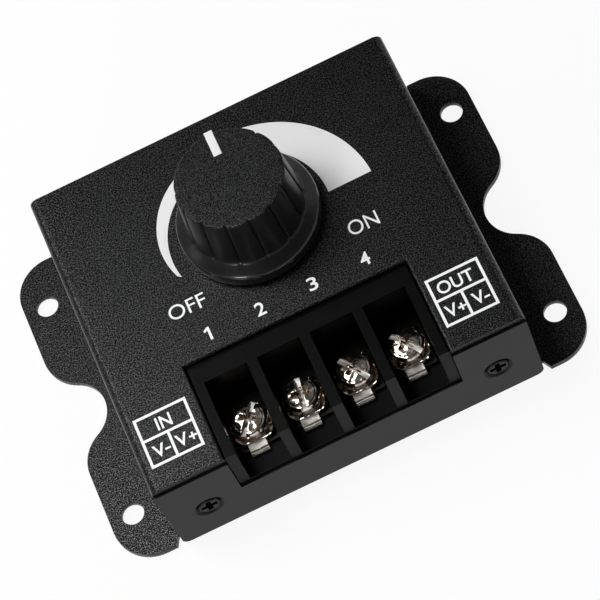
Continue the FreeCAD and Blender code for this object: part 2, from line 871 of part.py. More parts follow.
def capacitor_places():
    x = inner_half_width - 2 * part_gap - board_side_gap - capacitor_radius
    first = block_back_y + part_gap + capacitor_radius
    return [(x, first), (x, first + 2 * capacitor_radius + part_gap)]


def filter_capacitor(x, y):
    can = rod(capacitor_radius, board_top, board_top + capacitor_height, x, y)
    rims = [edge for edge in can.Edges if edge.Closed]
    can = can.makeFillet(capacitor_edge_radius, rims)
    low = board_top + capacitor_groove_height
    high = low + capacitor_groove_width
    outer = rod(capacitor_radius + overshoot, low, high, x, y)
    inner = rod(capacitor_radius - capacitor_groove_depth, low, high, x, y)
    return can.cut(outer.cut(inner))


def wire(x, y, top):
    return rod(wire_radius, board_bottom - solder_tip, top, x, y)


def capacitor_wires():
    half = capacitor_lead_spacing / 2
    return [(x + shift, y) for x, y in capacitor_places() for shift in (-half, half)]


def chip_y():
    return board_half_depth - chip_inset


def chip_wires():
    places = []
    for lead in range(chip_leads_per_side):
        x = lead_pitch * (lead - (chip_leads_per_side - 1) / 2)
        for side in (-1, 1):
            places.append((x, chip_y() + side * (chip_width / 2 + chip_lead_overhang)))
    return places


def driver_chip():
    low = board_top + chip_standoff
    top = low + chip_thickness
    half = chip_width / 2
    chip = box(-chip_length / 2, chip_length / 2, chip_y() - half, chip_y() + half, low, top)
    notch = rod(chip_notch_radius, top - chip_notch_depth, top + overshoot, -chip_length / 2, chip_y())
    return chip.cut(notch)


def chip_lead(x, y):
    # A flat strip from the chip's side that turns down into the board.
    level = board_top + chip_standoff + chip_thickness / 2
    inward = -1 if y > chip_y() else 1
    body_side = chip_y() - inward * chip_width / 2
    y_ends = sorted((body_side, y - inward * wire_radius))
    half = lead_thickness / 2
    arm = box(x - half, x + half, y_ends[0], y_ends[1], level, level + wire_radius)
    return fuse([arm, wire(x, y, level + wire_radius)])


def regulator_wires():
    return [(regulator_offset + lead_pitch / 2 * lead, chip_y()) for lead in (-1, 0, 1)]


def voltage_regulator():
    low = board_top + regulator_lead_height
    case = rod(regulator_radius, low, low + regulator_height, regulator_offset, chip_y())
    flat_y = chip_y() - regulator_flat
    flat = box(regulator_offset - 2 * regulator_radius, regulator_offset + 2 * regulator_radius,
               flat_y - 2 * regulator_radius, flat_y, low - overshoot, low + regulator_height + overshoot)
    return case.cut(flat)


def film_wires():
    half = film_lead_spacing / 2
    return [(-film_offset - half, chip_y()), (-film_offset + half, chip_y())]


def film_capacitor():
    low = board_top + film_standoff
    block = box(-film_offset - film_length / 2, -film_offset + film_length / 2,
                chip_y() - film_width / 2, chip_y() + film_width / 2, low, low + film_height)
    return block.makeFillet(film_edge_radius, vertical_edges(block))


def wire_places():
    return capacitor_wires() + chip_wires() + regulator_wires() + film_wires()


def chip_resistor(place):
    x = resistor_spacing * (place - (resistor_count - 1) / 2)
    y = block_back_y + resistor_block_gap
    return box(x - resistor_width / 2, x + resistor_width / 2, y, y + resistor_length,
               board_top, board_top + resistor_height)


def build():
    os.makedirs("parts", exist_ok=True)
    export("cover_shell", cover_shell())
    export("base_tray", base_tray())
    export("front_case_screws", case_screws(-1))
    export("rear_case_screws", case_screws(1))

    export("terminal_block", terminal_block())
    export("terminal_contacts", [terminal_contact(x) for x in way_x])
    for way, x in enumerate(way_x, start=1):
        slot_angle = terminal_slot_angles[(way - 1) % len(terminal_slot_angles)]
        export("clamp_washer_" + str(way), clamp_washer(x))
        export("terminal_screw_" + str(way), terminal_screw(x, slot_angle))

    export("circuit_board", circuit_board())
    standoff_places = corners_of(standoff_x, standoff_y)
    export("board_standoffs", [board_standoff(x, y) for x, y in standoff_places])
    export("board_screws", [board_screw(x, y) for x, y in standoff_places])
    export("insulating_sheet", insulating_sheet())

    export("pot_front_plate", pot_front_plate())
    export("pot_housing", pot_housing())
    export("pot_track", pot_track())
    export("pot_wiper", pot_wiper())
    export("pot_shaft", pot_shaft())
    export("pot_lugs", [pot_lug(x) for x in pot_lug_x()])
    export("pot_washer", pot_washer())
    export("pot_nut", pot_nut())
    export("knob", knob())
    export("knob_pointer", knob_pointer())

    export("transistor_tabs", [transistor_tab(y) for y in transistor_rows()])
    export("transistor_bodies", [transistor_body(y) for y in transistor_rows()])
    export("transistor_leads", [transistor_lead(x, y) for x, y in transistor_lead_places()])
    export("heat_spreader", heat_spreader())
    export("transistor_screws", [transistor_screw(x, y) for x, y in transistor_holes()])
    export("transistor_nuts", [transistor_nut(x, y) for x, y in transistor_holes()])

    export("filter_capacitors", [filter_capacitor(x, y) for x, y in capacitor_places()])
    export("capacitor_leads", [wire(x, y, board_top) for x, y in capacitor_wires()])
    export("driver_chip", driver_chip())
    export("chip_leads", [chip_lead(x, y) for x, y in chip_wires()])
    export("voltage_regulator", voltage_regulator())
    regulator_base = board_top + regulator_lead_height
    export("regulator_leads", [wire(x, y, regulator_base) for x, y in regulator_wires()])
    export("film_capacitor", film_capacitor())
    export("film_capacitor_leads", [wire(x, y, board_top + film_standoff) for x, y in film_wires()])
    export("chip_resistors", [chip_resistor(place) for place in range(resistor_count)])


build()
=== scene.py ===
import json
import math
import bmesh
import bpy
from mathutils import Matrix, Vector
from mathutils.geometry import tessellate_polygon

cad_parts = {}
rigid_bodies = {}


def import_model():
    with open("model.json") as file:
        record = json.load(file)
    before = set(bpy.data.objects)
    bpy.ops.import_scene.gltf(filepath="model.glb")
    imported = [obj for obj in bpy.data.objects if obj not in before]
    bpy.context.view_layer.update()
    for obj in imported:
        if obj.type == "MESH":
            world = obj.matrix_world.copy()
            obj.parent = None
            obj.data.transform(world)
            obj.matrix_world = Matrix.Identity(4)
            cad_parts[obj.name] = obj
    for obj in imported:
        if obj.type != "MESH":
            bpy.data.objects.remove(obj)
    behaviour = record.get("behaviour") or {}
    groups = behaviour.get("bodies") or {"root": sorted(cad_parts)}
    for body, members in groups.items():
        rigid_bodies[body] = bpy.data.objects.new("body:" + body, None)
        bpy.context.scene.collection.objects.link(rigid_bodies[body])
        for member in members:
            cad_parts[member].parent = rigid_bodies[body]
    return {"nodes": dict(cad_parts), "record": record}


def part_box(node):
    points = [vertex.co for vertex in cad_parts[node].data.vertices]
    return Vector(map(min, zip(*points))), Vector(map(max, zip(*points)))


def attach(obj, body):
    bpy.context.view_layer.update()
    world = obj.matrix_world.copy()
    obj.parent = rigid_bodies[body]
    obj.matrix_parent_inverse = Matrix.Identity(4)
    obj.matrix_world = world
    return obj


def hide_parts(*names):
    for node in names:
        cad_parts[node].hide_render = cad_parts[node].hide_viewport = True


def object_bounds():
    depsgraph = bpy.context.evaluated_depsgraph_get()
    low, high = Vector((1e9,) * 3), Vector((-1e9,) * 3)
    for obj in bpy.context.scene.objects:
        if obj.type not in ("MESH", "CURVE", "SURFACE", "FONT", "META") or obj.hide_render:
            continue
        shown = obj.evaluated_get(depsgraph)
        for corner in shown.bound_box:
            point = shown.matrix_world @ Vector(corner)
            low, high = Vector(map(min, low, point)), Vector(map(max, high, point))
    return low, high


# Looks of the rotary dimmer for LED strip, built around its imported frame
# Metres. +X is the output side, +Y the knob side, +Z up out of the cover

for leftover in list(bpy.data.objects):
    bpy.data.objects.remove(leftover)
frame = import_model()
cadLow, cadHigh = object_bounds()
mm = 0.001
turn = 2 * math.pi
print("frame loaded:", len(frame["nodes"]), "nodes")


class Look(dict):
    # a piece's settings, where look.width reads look["width"]
    __getattr__ = dict.__getitem__


def inMm(**sizes):
    # sizes written in millimetres, as metres
    return {name: size * mm for name, size in sizes.items()}


# Node trees, written as sums

class Wire:
    # one output of a node: sums and products on it add Math nodes
    def __init__(self, net, socket):
        self.net = net
        self.socket = socket

    def out(self, name):
        return Wire(self.net, self.socket.node.outputs[name])

    def __add__(self, other):
        return self.net.maths("ADD", self, other)

    def __radd__(self, other):
        return self.net.maths("ADD", other, self)

    def __sub__(self, other):
        return self.net.maths("SUBTRACT", self, other)

    def __rsub__(self, other):
        return self.net.maths("SUBTRACT", other, self)

    def __mul__(self, other):
        return self.net.maths("MULTIPLY", self, other)

    def __rmul__(self, other):
        return self.net.maths("MULTIPLY", other, self)

    def __truediv__(self, other):
        return self.net.maths("DIVIDE", self, other)

    def __rtruediv__(self, other):
        return self.net.maths("DIVIDE", other, self)

    def __abs__(self):
        return self.net.maths("ABSOLUTE", self)


class Net:
    # a node tree in the making, where every node comes from node()
    def __init__(self, tree):
        self.tree = tree
        tree.nodes.clear()

    def node(self, kind, settings=None, values=None, output=0):
        made = self.tree.nodes.new(kind)
        for name, value in (settings or {}).items():
            setattr(made, name, value)
        for key, value in (values or {}).items():
            if isinstance(value, Wire):
                self.tree.links.new(value.socket, made.inputs[key])
            else:
                made.inputs[key].default_value = value
        return Wire(self, made.outputs[output]) if made.outputs else None

    def maths(self, operation, first, second=0.0):
        return self.node("ShaderNodeMath", {"operation": operation}, {0: first, 1: second})

    def smooth(self, value, low, high):
        # 0 below low, 1 above high, and a soft step between them
        return self.node("ShaderNodeMapRange", {"interpolation_type": "SMOOTHSTEP"},
                         {"Value": value, "From Min": low, "From Max": high})

    def blendColour(self, share, first, second):
        return self.node("ShaderNodeMix", {"data_type": "RGBA"}, {0: share, 6: first, 7: second}, 2)

    def place(self):
        return self.node("ShaderNodeTexCoord", output="Object")

    def height(self):
        return self.node("ShaderNodeSeparateXYZ", None, {"Vector": self.place()}).out("Z")

    def moved(self, shift, stretch=(1, 1, 1)):
        return self.node("ShaderNodeMapping", None,
                         {"Vector": self.place(), "Location": (shift, shift, shift), "Scale": stretch})

    def grain(self, size, detail=2.0, shift=0.0, stretch=(1, 1, 1)):
        # noise whose lumps are about size metres across
        return self.node("ShaderNodeTexNoise", None, {
            "Vector": self.moved(shift, stretch), "Scale": 1 / size, "Detail": detail, "Roughness": 0.55})

    def cells(self, size, shift):
        # distance to the nearest of many scattered points, about size metres apart
        return self.node("ShaderNodeTexVoronoi", None, {"Vector": self.moved(shift), "Scale": 1 / size})

    def marked(self):
        # 1 on the marked faces, 0 on the others: the matt faces for the nickel, and the recess that the
        #                                         blacked steel paints near black as shade
        return self.node("ShaderNodeAttribute", {"attribute_name": "matt"}, None, "Fac")

    def bump(self, height, depth):
        return self.node("ShaderNodeBump", None, {"Distance": depth, "Height": height})


def grey(level):
    return (level, level, level, 1)


def finish(name, build):
    made = bpy.data.materials.new(name)
    made.use_nodes = True
    net = Net(made.node_tree)
    shader = net.node("ShaderNodeBsdfPrincipled", None, build(net))
    net.node("ShaderNodeOutputMaterial", None, {"Surface": shader})
    made.diffuse_color = grey(0.1)  # for the solid view
    return made


# Finishes

powderCoat = Look({
    "black": 0.005, "fleck": 0.081, "rough": 0.31, "sheen": 0.05,
    "speckle": (0.43, 0.62), "glint": (0.62, 0.74),  # levels of the noise where the grains start to shine
    **inMm(grain=0.235, depth=0.065, broad=9),
})


def powder(net):
    # grains of paint that shine more or less
    p = powderCoat
    grain = net.grain(p.grain, 1)
    broad = net.grain(p.broad, 3, 0.2)
    share = net.smooth(grain, *p.speckle) * 0.6 + net.smooth(grain, *p.glint) * 0.4
    return {
        "Base Color": net.blendColour(share, grey(p.black), grey(p.fleck)),
        "Metallic": 0.7 + share * 0.3,
        "Roughness": p.rough - grain * 0.06 + broad * 0.05,
        "Specular IOR Level": p.sheen,
        "Normal": net.bump(grain, p.depth),
    }


panelCoat = Look({
    "black": 0.006, "worn": 0.018, "rough": 0.4, "sheen": 0.17, "scuffed": (0.62, 0.8),
    **inMm(grain=0.16, depth=0.006, broad=14, scuff=2.6),
})


def satinCoat(net):
    # a smoother coat with a few faint scuffs
    p = panelCoat
    fine = net.grain(p.grain, 2)
    broad = net.grain(p.broad, 2, 0.4)
    scuffs = net.smooth(net.grain(p.scuff, 6, 0.7, (1, 1, 4)), *p.scuffed)
    return {
        "Base Color": net.blendColour(broad * 0.25 + scuffs * 0.3, grey(p.black), grey(p.worn)),
        "Roughness": p.rough + fine * 0.08 + scuffs * 0.1,
        "Specular IOR Level": p.sheen,
        "Normal": net.bump(fine, p.depth),
    }


blockPlastic = Look({
    "black": 0.0012, "haze": 0.006, "rough": 0.3, "sheen": 0.055, "dusty": (0.05, 0.12),
    **inMm(flow=5, speck=1.5, ripple=0.9, depth=0.004),
})


def mouldedPlastic(net):
    b = blockPlastic
    flow = net.grain(b.flow, 3, 0.1, (1, 2.5, 1))
    dust = 1 - net.smooth(net.cells(b.speck, 0.31), *b.dusty)
    return {
        "Base Color": net.blendColour(flow * 0.3 + dust * 0.35, grey(b.black), grey(b.haze)),
        "Roughness": b.rough + flow * 0.14 + dust * 0.2,
        "Specular IOR Level": b.sheen,
        "Normal": net.bump(net.grain(b.ripple, 2, 0.5), b.depth),
    }


nickelPlate = Look({
    "bright": (0.64, 0.57, 0.51, 1), "dull": (0.42, 0.345, 0.29, 1), "stamped": (0.47, 0.445, 0.415, 1),
    "clouded": (0.42, 0.72), "rough": 0.085, "matt": 0.36,
    **inMm(cloud=1.1, wave=1.9, fine=0.12, depth=0.4),
})


def nickel(net):
    # bright and a little uneven, but matt and greyer where it is stamped or cut
    n = nickelPlate
    cloud = net.grain(n.cloud, 3, 0.3)
    wave = net.grain(n.wave, 1, 0.3)
    fine = net.grain(n.fine, 2, 0.6)
    matt = net.marked()
    plated = net.blendColour(net.smooth(cloud, *n.clouded), n.bright, n.dull)
    return {
        "Base Color": net.blendColour(matt, plated, n.stamped),
        "Metallic": 1.0,
        "Roughness": n.rough + cloud * 0.08 + fine * 0.04 + matt * n.matt,
        "Normal": net.bump(wave + fine * (0.006 + matt * 0.06), n.depth),
    }


# the recess colour is painted shade, a near black standing for the shade in the driver's recess
blackedSteel = Look({
    "black": 0.012, "worn": (0.34, 0.323, 0.306, 1), "recess": 0.0008, "rubbed": (0.5, 0.7),
    "metal": 0.85, "rough": 0.34, "sheen": 0.12, **inMm(cloud=0.7, fine=0.2, depth=0.006),
})


def blackSteel(net):
    # blacked heads, a little rubbed, with painted shade: the driver's recess is painted near black
    b = blackedSteel
    cloud = net.grain(b.cloud, 3, 0.8)
    head = net.blendColour(net.smooth(cloud, *b.rubbed) * 0.12, grey(b.black), b.worn)
    return {
        # painted shade: the marked recess is painted near black
        "Base Color": net.blendColour(net.marked(), head, grey(b.recess)),
        "Metallic": b.metal,
        "Roughness": b.rough + cloud * 0.14,
        "Specular IOR Level": b.sheen,
        "Normal": net.bump(net.grain(b.fine), b.depth),
    }


knobPlastic = Look({
    "black": 0.004, "fleck": 0.053, "side": 0.0077, "sheen": 0.24, "rough": 0.15, "speckle": (0.41, 0.68),
    "face": cadHigh.z - 0.25 * mm,  # above this level the moulding is textured
    "foot": cadHigh.z - 12.2 * mm,  # below this level the skirt's bead is polished
    **inMm(grain=0.18, depth=0.07, flow=6, polish=0.5, faceFade=0.15, footFade=0.3),
})


def knobMoulding(net):
    k = knobPlastic
    height = net.height()
    textured = net.smooth(height, k.face - k.faceFade, k.face)
    fluted = net.smooth(height, k.foot - k.footFade, k.foot + k.footFade)
    grain = net.grain(k.grain, 1, 0.05)
    flow = net.grain(k.flow, 3, 0.9, (1, 1, 0.5))
    polish = net.grain(k.polish, 2, 0.2)
    speckled = net.blendColour(net.smooth(grain, *k.speckle), grey(k.black), grey(k.fleck))
    return {
        "Base Color": net.blendColour(textured, grey(k.side), speckled),
        "Metallic": textured * 0.9,
        "Roughness": k.rough + flow * 0.05 + fluted * 0.14 + textured * 0.04,
        "Specular IOR Level": k.sheen,
        "Coat Weight": (1 - fluted) * 0.9,
        "Coat Roughness": 0.07,
        "Normal": net.bump(textured * grain + (1 - textured) * polish * 0.03, k.depth),
    }


whitePaint = Look({
    "white": 0.8, "shade": (0.68, 0.68, 0.6732, 1), "print": 0.96, "rough": 0.52, "sheen": 0.25,
    "pitted": (0.68, 0.8), **inMm(cloud=3.5, fine=0.3, pore=0.14, depth=0.01, inkCloud=2.5, inkDepth=0.008),
})


def whiteCoat(net, colour, depth):
    fine = net.grain(whitePaint.fine, 3)
    return {
        "Base Color": colour,
        "Roughness": whitePaint.rough + fine * 0.1,
        "Specular IOR Level": whitePaint.sheen,
        "Normal": net.bump(fine, depth),
    }


def paintedWhite(net):
    w = whitePaint
    cloud = net.grain(w.cloud, 3, 0.15)
    pores = net.smooth(net.grain(w.pore, 2, 0.4), *w.pitted)
    colour = net.blendColour(cloud * 0.3 + pores * 0.5, grey(w.white), w.shade)
    return whiteCoat(net, colour, w.depth)


def printedWhite(net):
    # the ink of the words and tables, brighter than the inlay
    w = whitePaint
    cloud = net.grain(w.inkCloud, 3, 0.35)
    return whiteCoat(net, net.blendColour(cloud * 0.3, grey(w.print), grey(w.white)), w.inkDepth)


boardMask = Look({
    "lacquer": (0.012, 0.09, 0.035, 1), "overCopper": (0.02, 0.16, 0.055, 1), "rough": 0.28,
    "edge": (0.3, 0.34), **inMm(island=5, fine=0.25, depth=0.03),
})


def solderMask(net):
    # lacquer over copper: the wide islands of copper show lighter through it
    b = boardMask
    islands = net.smooth(net.cells(b.island, 0.07), *b.edge)
    fine = net.grain(b.fine, 2)
    return {
        "Base Color": net.blendColour(islands, b.lacquer, b.overCopper),
        "Roughness": b.rough + fine * 0.1,
        "Normal": net.bump(islands + fine * 0.1, b.depth),
    }


sleeveLook = Look({
    "sleeve": ((0.02, 0.025, 0.07, 1), (0.035, 0.04, 0.1, 1)), "can": (0.72, 0.72, 0.73, 1), "rough": 0.26,
    **inMm(flow=1.5, depth=0.01, edgeLow=0.12, edgeHigh=0.02),
})


def shrinkSleeve(net):
    # the sleeve ends where the can's aluminium top shows
    s = sleeveLook
    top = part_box("filter_capacitors")[1].z
    bare = net.smooth(net.height(), top - s.edgeLow, top - s.edgeHigh)
    flow = net.grain(s.flow, 3)
    return {
        "Base Color": net.blendColour(bare, net.blendColour(flow, *s.sleeve), s.can),
        "Metallic": bare * 0.95,
        "Roughness": s.rough + flow * 0.1,
        "Normal": net.bump(flow, s.depth),
    }


# finishes of two colours in one noise: its size, detail, shift and stretch, the two colours, the least
# roughness and what the noise adds to it, the depth of the relief, and other sockets of the shader
cloudedLooks = {
    # painted shade: the contact plates deep in the block get a nearly black nickel that stands for the shade
    # there
    "nickel darkened as shade": {  # nearly black, for the contact plates in the depth of the block
        "noise": (0.9 * mm, 3, 0.5), "colours": ((0.022, 0.019, 0.016, 1), (0.01, 0.009, 0.008, 1)),
        "rough": (0.28, 0.12), "depth": 0.02 * mm, "also": {"Metallic": 1.0}},
    "tinned copper": {
        "noise": (0.6 * mm, 3, 0.35), "colours": ((0.74, 0.74, 0.75, 1), (0.55, 0.53, 0.5, 1)),
        "rough": (0.24, 0.16), "depth": 0.006 * mm, "also": {"Metallic": 1.0}},
    "zinc plated steel": {
        "noise": (1.6 * mm, 4, 0.25), "colours": ((0.62, 0.63, 0.65, 1), (0.42, 0.43, 0.46, 1)),
        "rough": (0.26, 0.16), "spangle": (0.8 * mm, 0.11), "depth": 0.004 * mm, "also": {"Metallic": 1.0}},
    "milled aluminium": {
        "noise": (0.18 * mm, 3, 0.2, (0.03, 1, 1)),
        "colours": ((0.76, 0.77, 0.79, 1), (0.6, 0.61, 0.63, 1)),
        "rough": (0.28, 0.18), "depth": 0.004 * mm, "also": {"Metallic": 1.0}},
    "insulating film": {
        "noise": (6 * mm, 2, 0.6, (1, 0.2, 1)), "colours": ((0.6, 0.58, 0.5, 1), (0.74, 0.73, 0.68, 1)),
        "rough": (0.3, 0.15), "depth": 0.05 * mm,
        "also": {"Subsurface Weight": 0.15, "Subsurface Scale": 0.5 * mm}},
    "natural plastic": {
        "noise": (2 * mm, 3, 0.4), "colours": ((0.72, 0.69, 0.6, 1), (0.62, 0.58, 0.48, 1)),
        "rough": (0.42, 0.1), "depth": 0.01 * mm,
        "also": {"Subsurface Weight": 0.1, "Subsurface Scale": 0.4 * mm}},
    "brown laminate": {
        "noise": (0.5 * mm, 4, 0.2, (0.25, 1, 1)), "colours": ((0.3, 0.15, 0.06, 1), (0.5, 0.3, 0.13, 1)),
        "rough": (0.5, 0.15), "depth": 0.01 * mm},
    "moulded epoxy": {
        "noise": (0.12 * mm, 3, 0.45), "colours": (grey(0.018), grey(0.045)),
        "rough": (0.55, 0.15), "depth": 0.012 * mm},
    "dipped epoxy": {
        "noise": (1.8 * mm, 3, 0.5), "colours": ((0.42, 0.09, 0.04, 1), (0.3, 0.05, 0.025, 1)),
        "rough": (0.2, 0.1), "depth": 0.05 * mm, "also": {"Coat Weight": 0.5}},
    "glazed ceramic": {
        "noise": (0.2 * mm, 3), "colours": (grey(0.03), grey(0.06)),
        "rough": (0.35, 0.15), "depth": 0.01 * mm},
}


def clouded(name):
    look = cloudedLooks[name]

    def build(net):
        cloud = net.grain(*look["noise"])
        relief = net.cells(*look["spangle"]) if "spangle" in look else cloud
        least, more = look["rough"]
        return {
            "Base Color": net.blendColour(cloud, *look["colours"]),
            "Roughness": least + cloud * more,
            "Normal": net.bump(relief, look["depth"]),
            **look.get("also", {}),
        }

    return finish(name, build)


finishOf = {
    "case_coat": finish("black powder coat", powder),
    "panel_coat": finish("satin black coat", satinCoat),
    "black_steel": finish("blackened steel", blackSteel),
    "block_plastic": finish("moulded black plastic", mouldedPlastic),
    "nickel": finish("nickel plate", nickel),
    "board_laminate": finish("green solder mask", solderMask),
    "zinc_steel": clouded("zinc plated steel"),
    "insulating_film": clouded("insulating film"),
    "track_laminate": clouded("brown laminate"),
    "wiper_plastic": clouded("natural plastic"),
    "tinned_copper": clouded("tinned copper"),
    "knob_plastic": finish("knob moulding", knobMoulding),
    "pointer_white": finish("white paint", paintedWhite),
    "epoxy": clouded("moulded epoxy"),
    "spreader_aluminium": clouded("milled aluminium"),
    "capacitor_sleeve": finish("shrink sleeve", shrinkSleeve),
    "film_case": clouded("dipped epoxy"),
    "resistor_ceramic": clouded("glazed ceramic"),
}
for part in frame["record"]["subparts"]:
    node = frame["nodes"][part["node"]]
    if not node.data.materials:
        node.data.materials.append(None)
    for materialSlot in node.material_slots:
        materialSlot.material = finishOf[part["material_slot"]]
print("finishes made:", len(finishOf))


# Shapes

meshLook = Look({
    "edgeSegments": 2, "edgeAngle": 32, "creaseAngle": 46, "flatAngle": 0.3,  # angles in degrees
    "arcSteps": 5, "mergeGap": 0.0005 * mm, "weldGap": 0.001 * mm,
})


def addPiece(name, mesh):
    piece = bpy.data.objects.new(name, mesh)
    bpy.context.scene.collection.objects.link(piece)
    return piece


def settle(piece):
    # the evaluated shape becomes the piece's plain mesh, and its modifiers go
    graph = bpy.context.evaluated_depsgraph_get()
    mesh = bpy.data.meshes.new_from_object(piece.evaluated_get(graph), preserve_all_data_layers=True,
                                           depsgraph=graph)
    old = piece.data
    piece.modifiers.clear()
    piece.data = mesh
    if old.users == 0:
        bpy.data.meshes.remove(old)
    return piece


def meshOf(name, shape):
    mesh = bpy.data.meshes.new(name)
    shape.to_mesh(mesh)
    shape.free()
    return mesh


def shapeOf(mesh):
    shape = bmesh.new()
    shape.from_mesh(mesh)
    return shape


def skin(shape, rings, capped=False):
    # four-sided faces between each ring of points and the next, and a face on both ends if capped
    for near, far in zip(rings, rings[1:]):
        for k in range(len(near)):
            after = (k + 1) % len(near)
            shape.faces.new((near[k], near[after], far[after], far[k]))
    if capped:
        shape.faces.new(rings[0][::-1])
        shape.faces.new(rings[-1])


def closedPiece(name, shape):
    bmesh.ops.recalc_face_normals(shape, faces=shape.faces)
    return addPiece(name, meshOf(name, shape))


def softenEdges(piece, width):
    # a small round on each sharp edge, with flat faces kept flat in the shading
    piece.data.shade_smooth()
    bevel = piece.modifiers.new("edges", "BEVEL")
    bevel.width = width
    bevel.segments = meshLook.edgeSegments
    bevel.limit_method = "ANGLE"
    bevel.angle_limit = math.radians(meshLook.edgeAngle)
    bevel.use_clamp_overlap = True
    bevel.miter_outer = "MITER_ARC"
    settle(piece)
    piece.data.set_sharp_from_angle(angle=math.radians(meshLook.creaseAngle))
    weighted = piece.modifiers.new("normals", "WEIGHTED_NORMAL")
    weighted.keep_sharp = True
    return settle(piece)


def markMatt(piece, isMarkedFace):
    # marks faces for the metals to read: matt faces for the nickel, and the recess that the blacked steel
    # paints near black as shade
    layer = piece.data.attributes.new("matt", "FLOAT", "FACE")
    layer.data.foreach_set(
        "value", [float(isMarkedFace(face.center, face.normal)) for face in piece.data.polygons])


def combine(piece, operation, others):
    # cuts the others out of a piece, or joins them to it, and removes them
    for other in others:
        step = piece.modifiers.new("combine", "BOOLEAN")
        step.operation = operation
        step.solver = "EXACT"
        step.object = other
    settle(piece)
    for other in others:
        bpy.data.objects.remove(other)


def mergedShape(node):
    # a CAD node's mesh is loose triangles, so a copy of it is merged
    shape = shapeOf(frame["nodes"][node].data)
    bmesh.ops.remove_doubles(shape, verts=shape.verts, dist=meshLook.mergeGap)
    return shape


def mergedCopy(node, name):
    # the copy's flat faces are made whole, and it loses the shading of the CAD mesh
    shape = mergedShape(node)
    flat = math.radians(meshLook.flatAngle)
    bmesh.ops.dissolve_limit(shape, angle_limit=flat, verts=shape.verts, edges=shape.edges)
    mesh = meshOf(name, shape)
    for layer in ("custom_normal", "sharp_edge", "sharp_face"):
        if layer in mesh.attributes:
            mesh.attributes.remove(mesh.attributes[layer])
    return mesh


def dress(piece, body, node, slot, paint=None):
    # hands a finished piece to the frame: its finish, its body and the CAD node that it stands for
    piece.data.materials.clear()
    piece.data.materials.append(paint or finishOf[slot])
    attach(piece, body)
    if node:
        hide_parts(node)
    return piece


def middleOf(node):
    low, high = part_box(node)
    return (low + high) / 2


def lumps(node):
    # the box of each separate solid in a CAD node, from left to right
    shape = mergedShape(node)
    waiting = set(shape.verts)
    boxes = []
    while waiting:
        group = [waiting.pop()]
        for vert in group:
            for edge in vert.link_edges:
                other = edge.other_vert(vert)
                if other in waiting:
                    waiting.remove(other)
                    group.append(other)
        corners = [vert.co for vert in group]
        boxes.append((Vector(map(min, zip(*corners))), Vector(map(max, zip(*corners)))))
    shape.free()
    return sorted(boxes, key=lambda box: (round(box[0].x, 5), round(box[0].y, 5)))


def roundedPath(corners, longest):
    # corners are (radius, height, rounding); a rounded one becomes an arc, a long run gets more points
    steps = meshLook.arcSteps
    path = [Vector(corners[0][:2])]
    for before, corner, after in zip(corners, corners[1:], corners[2:]):
        at = Vector(corner[:2])
        if corner[2] <= 0:
            path.append(at)
            continue
        back = (Vector(before[:2]) - at).normalized()
        ahead = (Vector(after[:2]) - at).normalized()
        half = back.angle(ahead) / 2
        start = at + back * corner[2] / math.tan(half)
        centre = at + (back + ahead).normalized() * corner[2] / math.sin(half)
        sweep = (start - centre).angle_signed(at + ahead * corner[2] / math.tan(half) - centre)
        for step in range(steps + 1):
            path.append(centre + Matrix.Rotation(-sweep * step / steps, 2) @ (start - centre))
    path.append(Vector(corners[-1][:2]))
    full = [path[0]]
    for start, end in zip(path, path[1:]):
        count = max(1, math.ceil((end - start).length / longest))
        full += [start.lerp(end, step / count) for step in range(1, count + 1)]
    return full


def profileMesh(name, path, shares):
    # the path as a chain of points in the XZ plane, each with its share of flute and thread
    mesh = bpy.data.meshes.new(name)
    mesh.from_pydata([(point.x, 0, point.y) for point in path],
                     [(k, k + 1) for k in range(len(path) - 1)], [])
    for label, share in shares.items():
        layer = mesh.attributes.new(label, "FLOAT", "POINT")
        layer.data.foreach_set("value", [share(point.x, point.y) for point in path])
    return mesh


def newTree(name, inputs):
    tree = bpy.data.node_groups.new(name, "GeometryNodeTree")
    tree.interface.new_socket("Geometry", in_out="OUTPUT", socket_type="NodeSocketGeometry")
    for label, kind in inputs:
        tree.interface.new_socket(label, in_out="INPUT", socket_type="NodeSocket" + kind)
    return tree, Net(tree)


def closeTree(net, shape, material):
    whole = net.node("GeometryNodeRealizeInstances", None, {"Geometry": shape})
    painted = net.node("GeometryNodeSetMaterial", None, {"Geometry": whole, "Material": material})
    net.node("NodeGroupOutput", None, {"Geometry": painted})


def grow(name, mesh, tree, values):
    # runs a tree on a mesh and keeps the plain mesh that comes out
    piece = addPiece(name, mesh)
    modifier = piece.modifiers.new("grow", "NODES")
    modifier.node_group = tree
    for socket in tree.interface.items_tree:
        if socket.in_out == "INPUT" and socket.name in values:
            modifier[socket.identifier] = values[socket.name]
    return settle(piece)


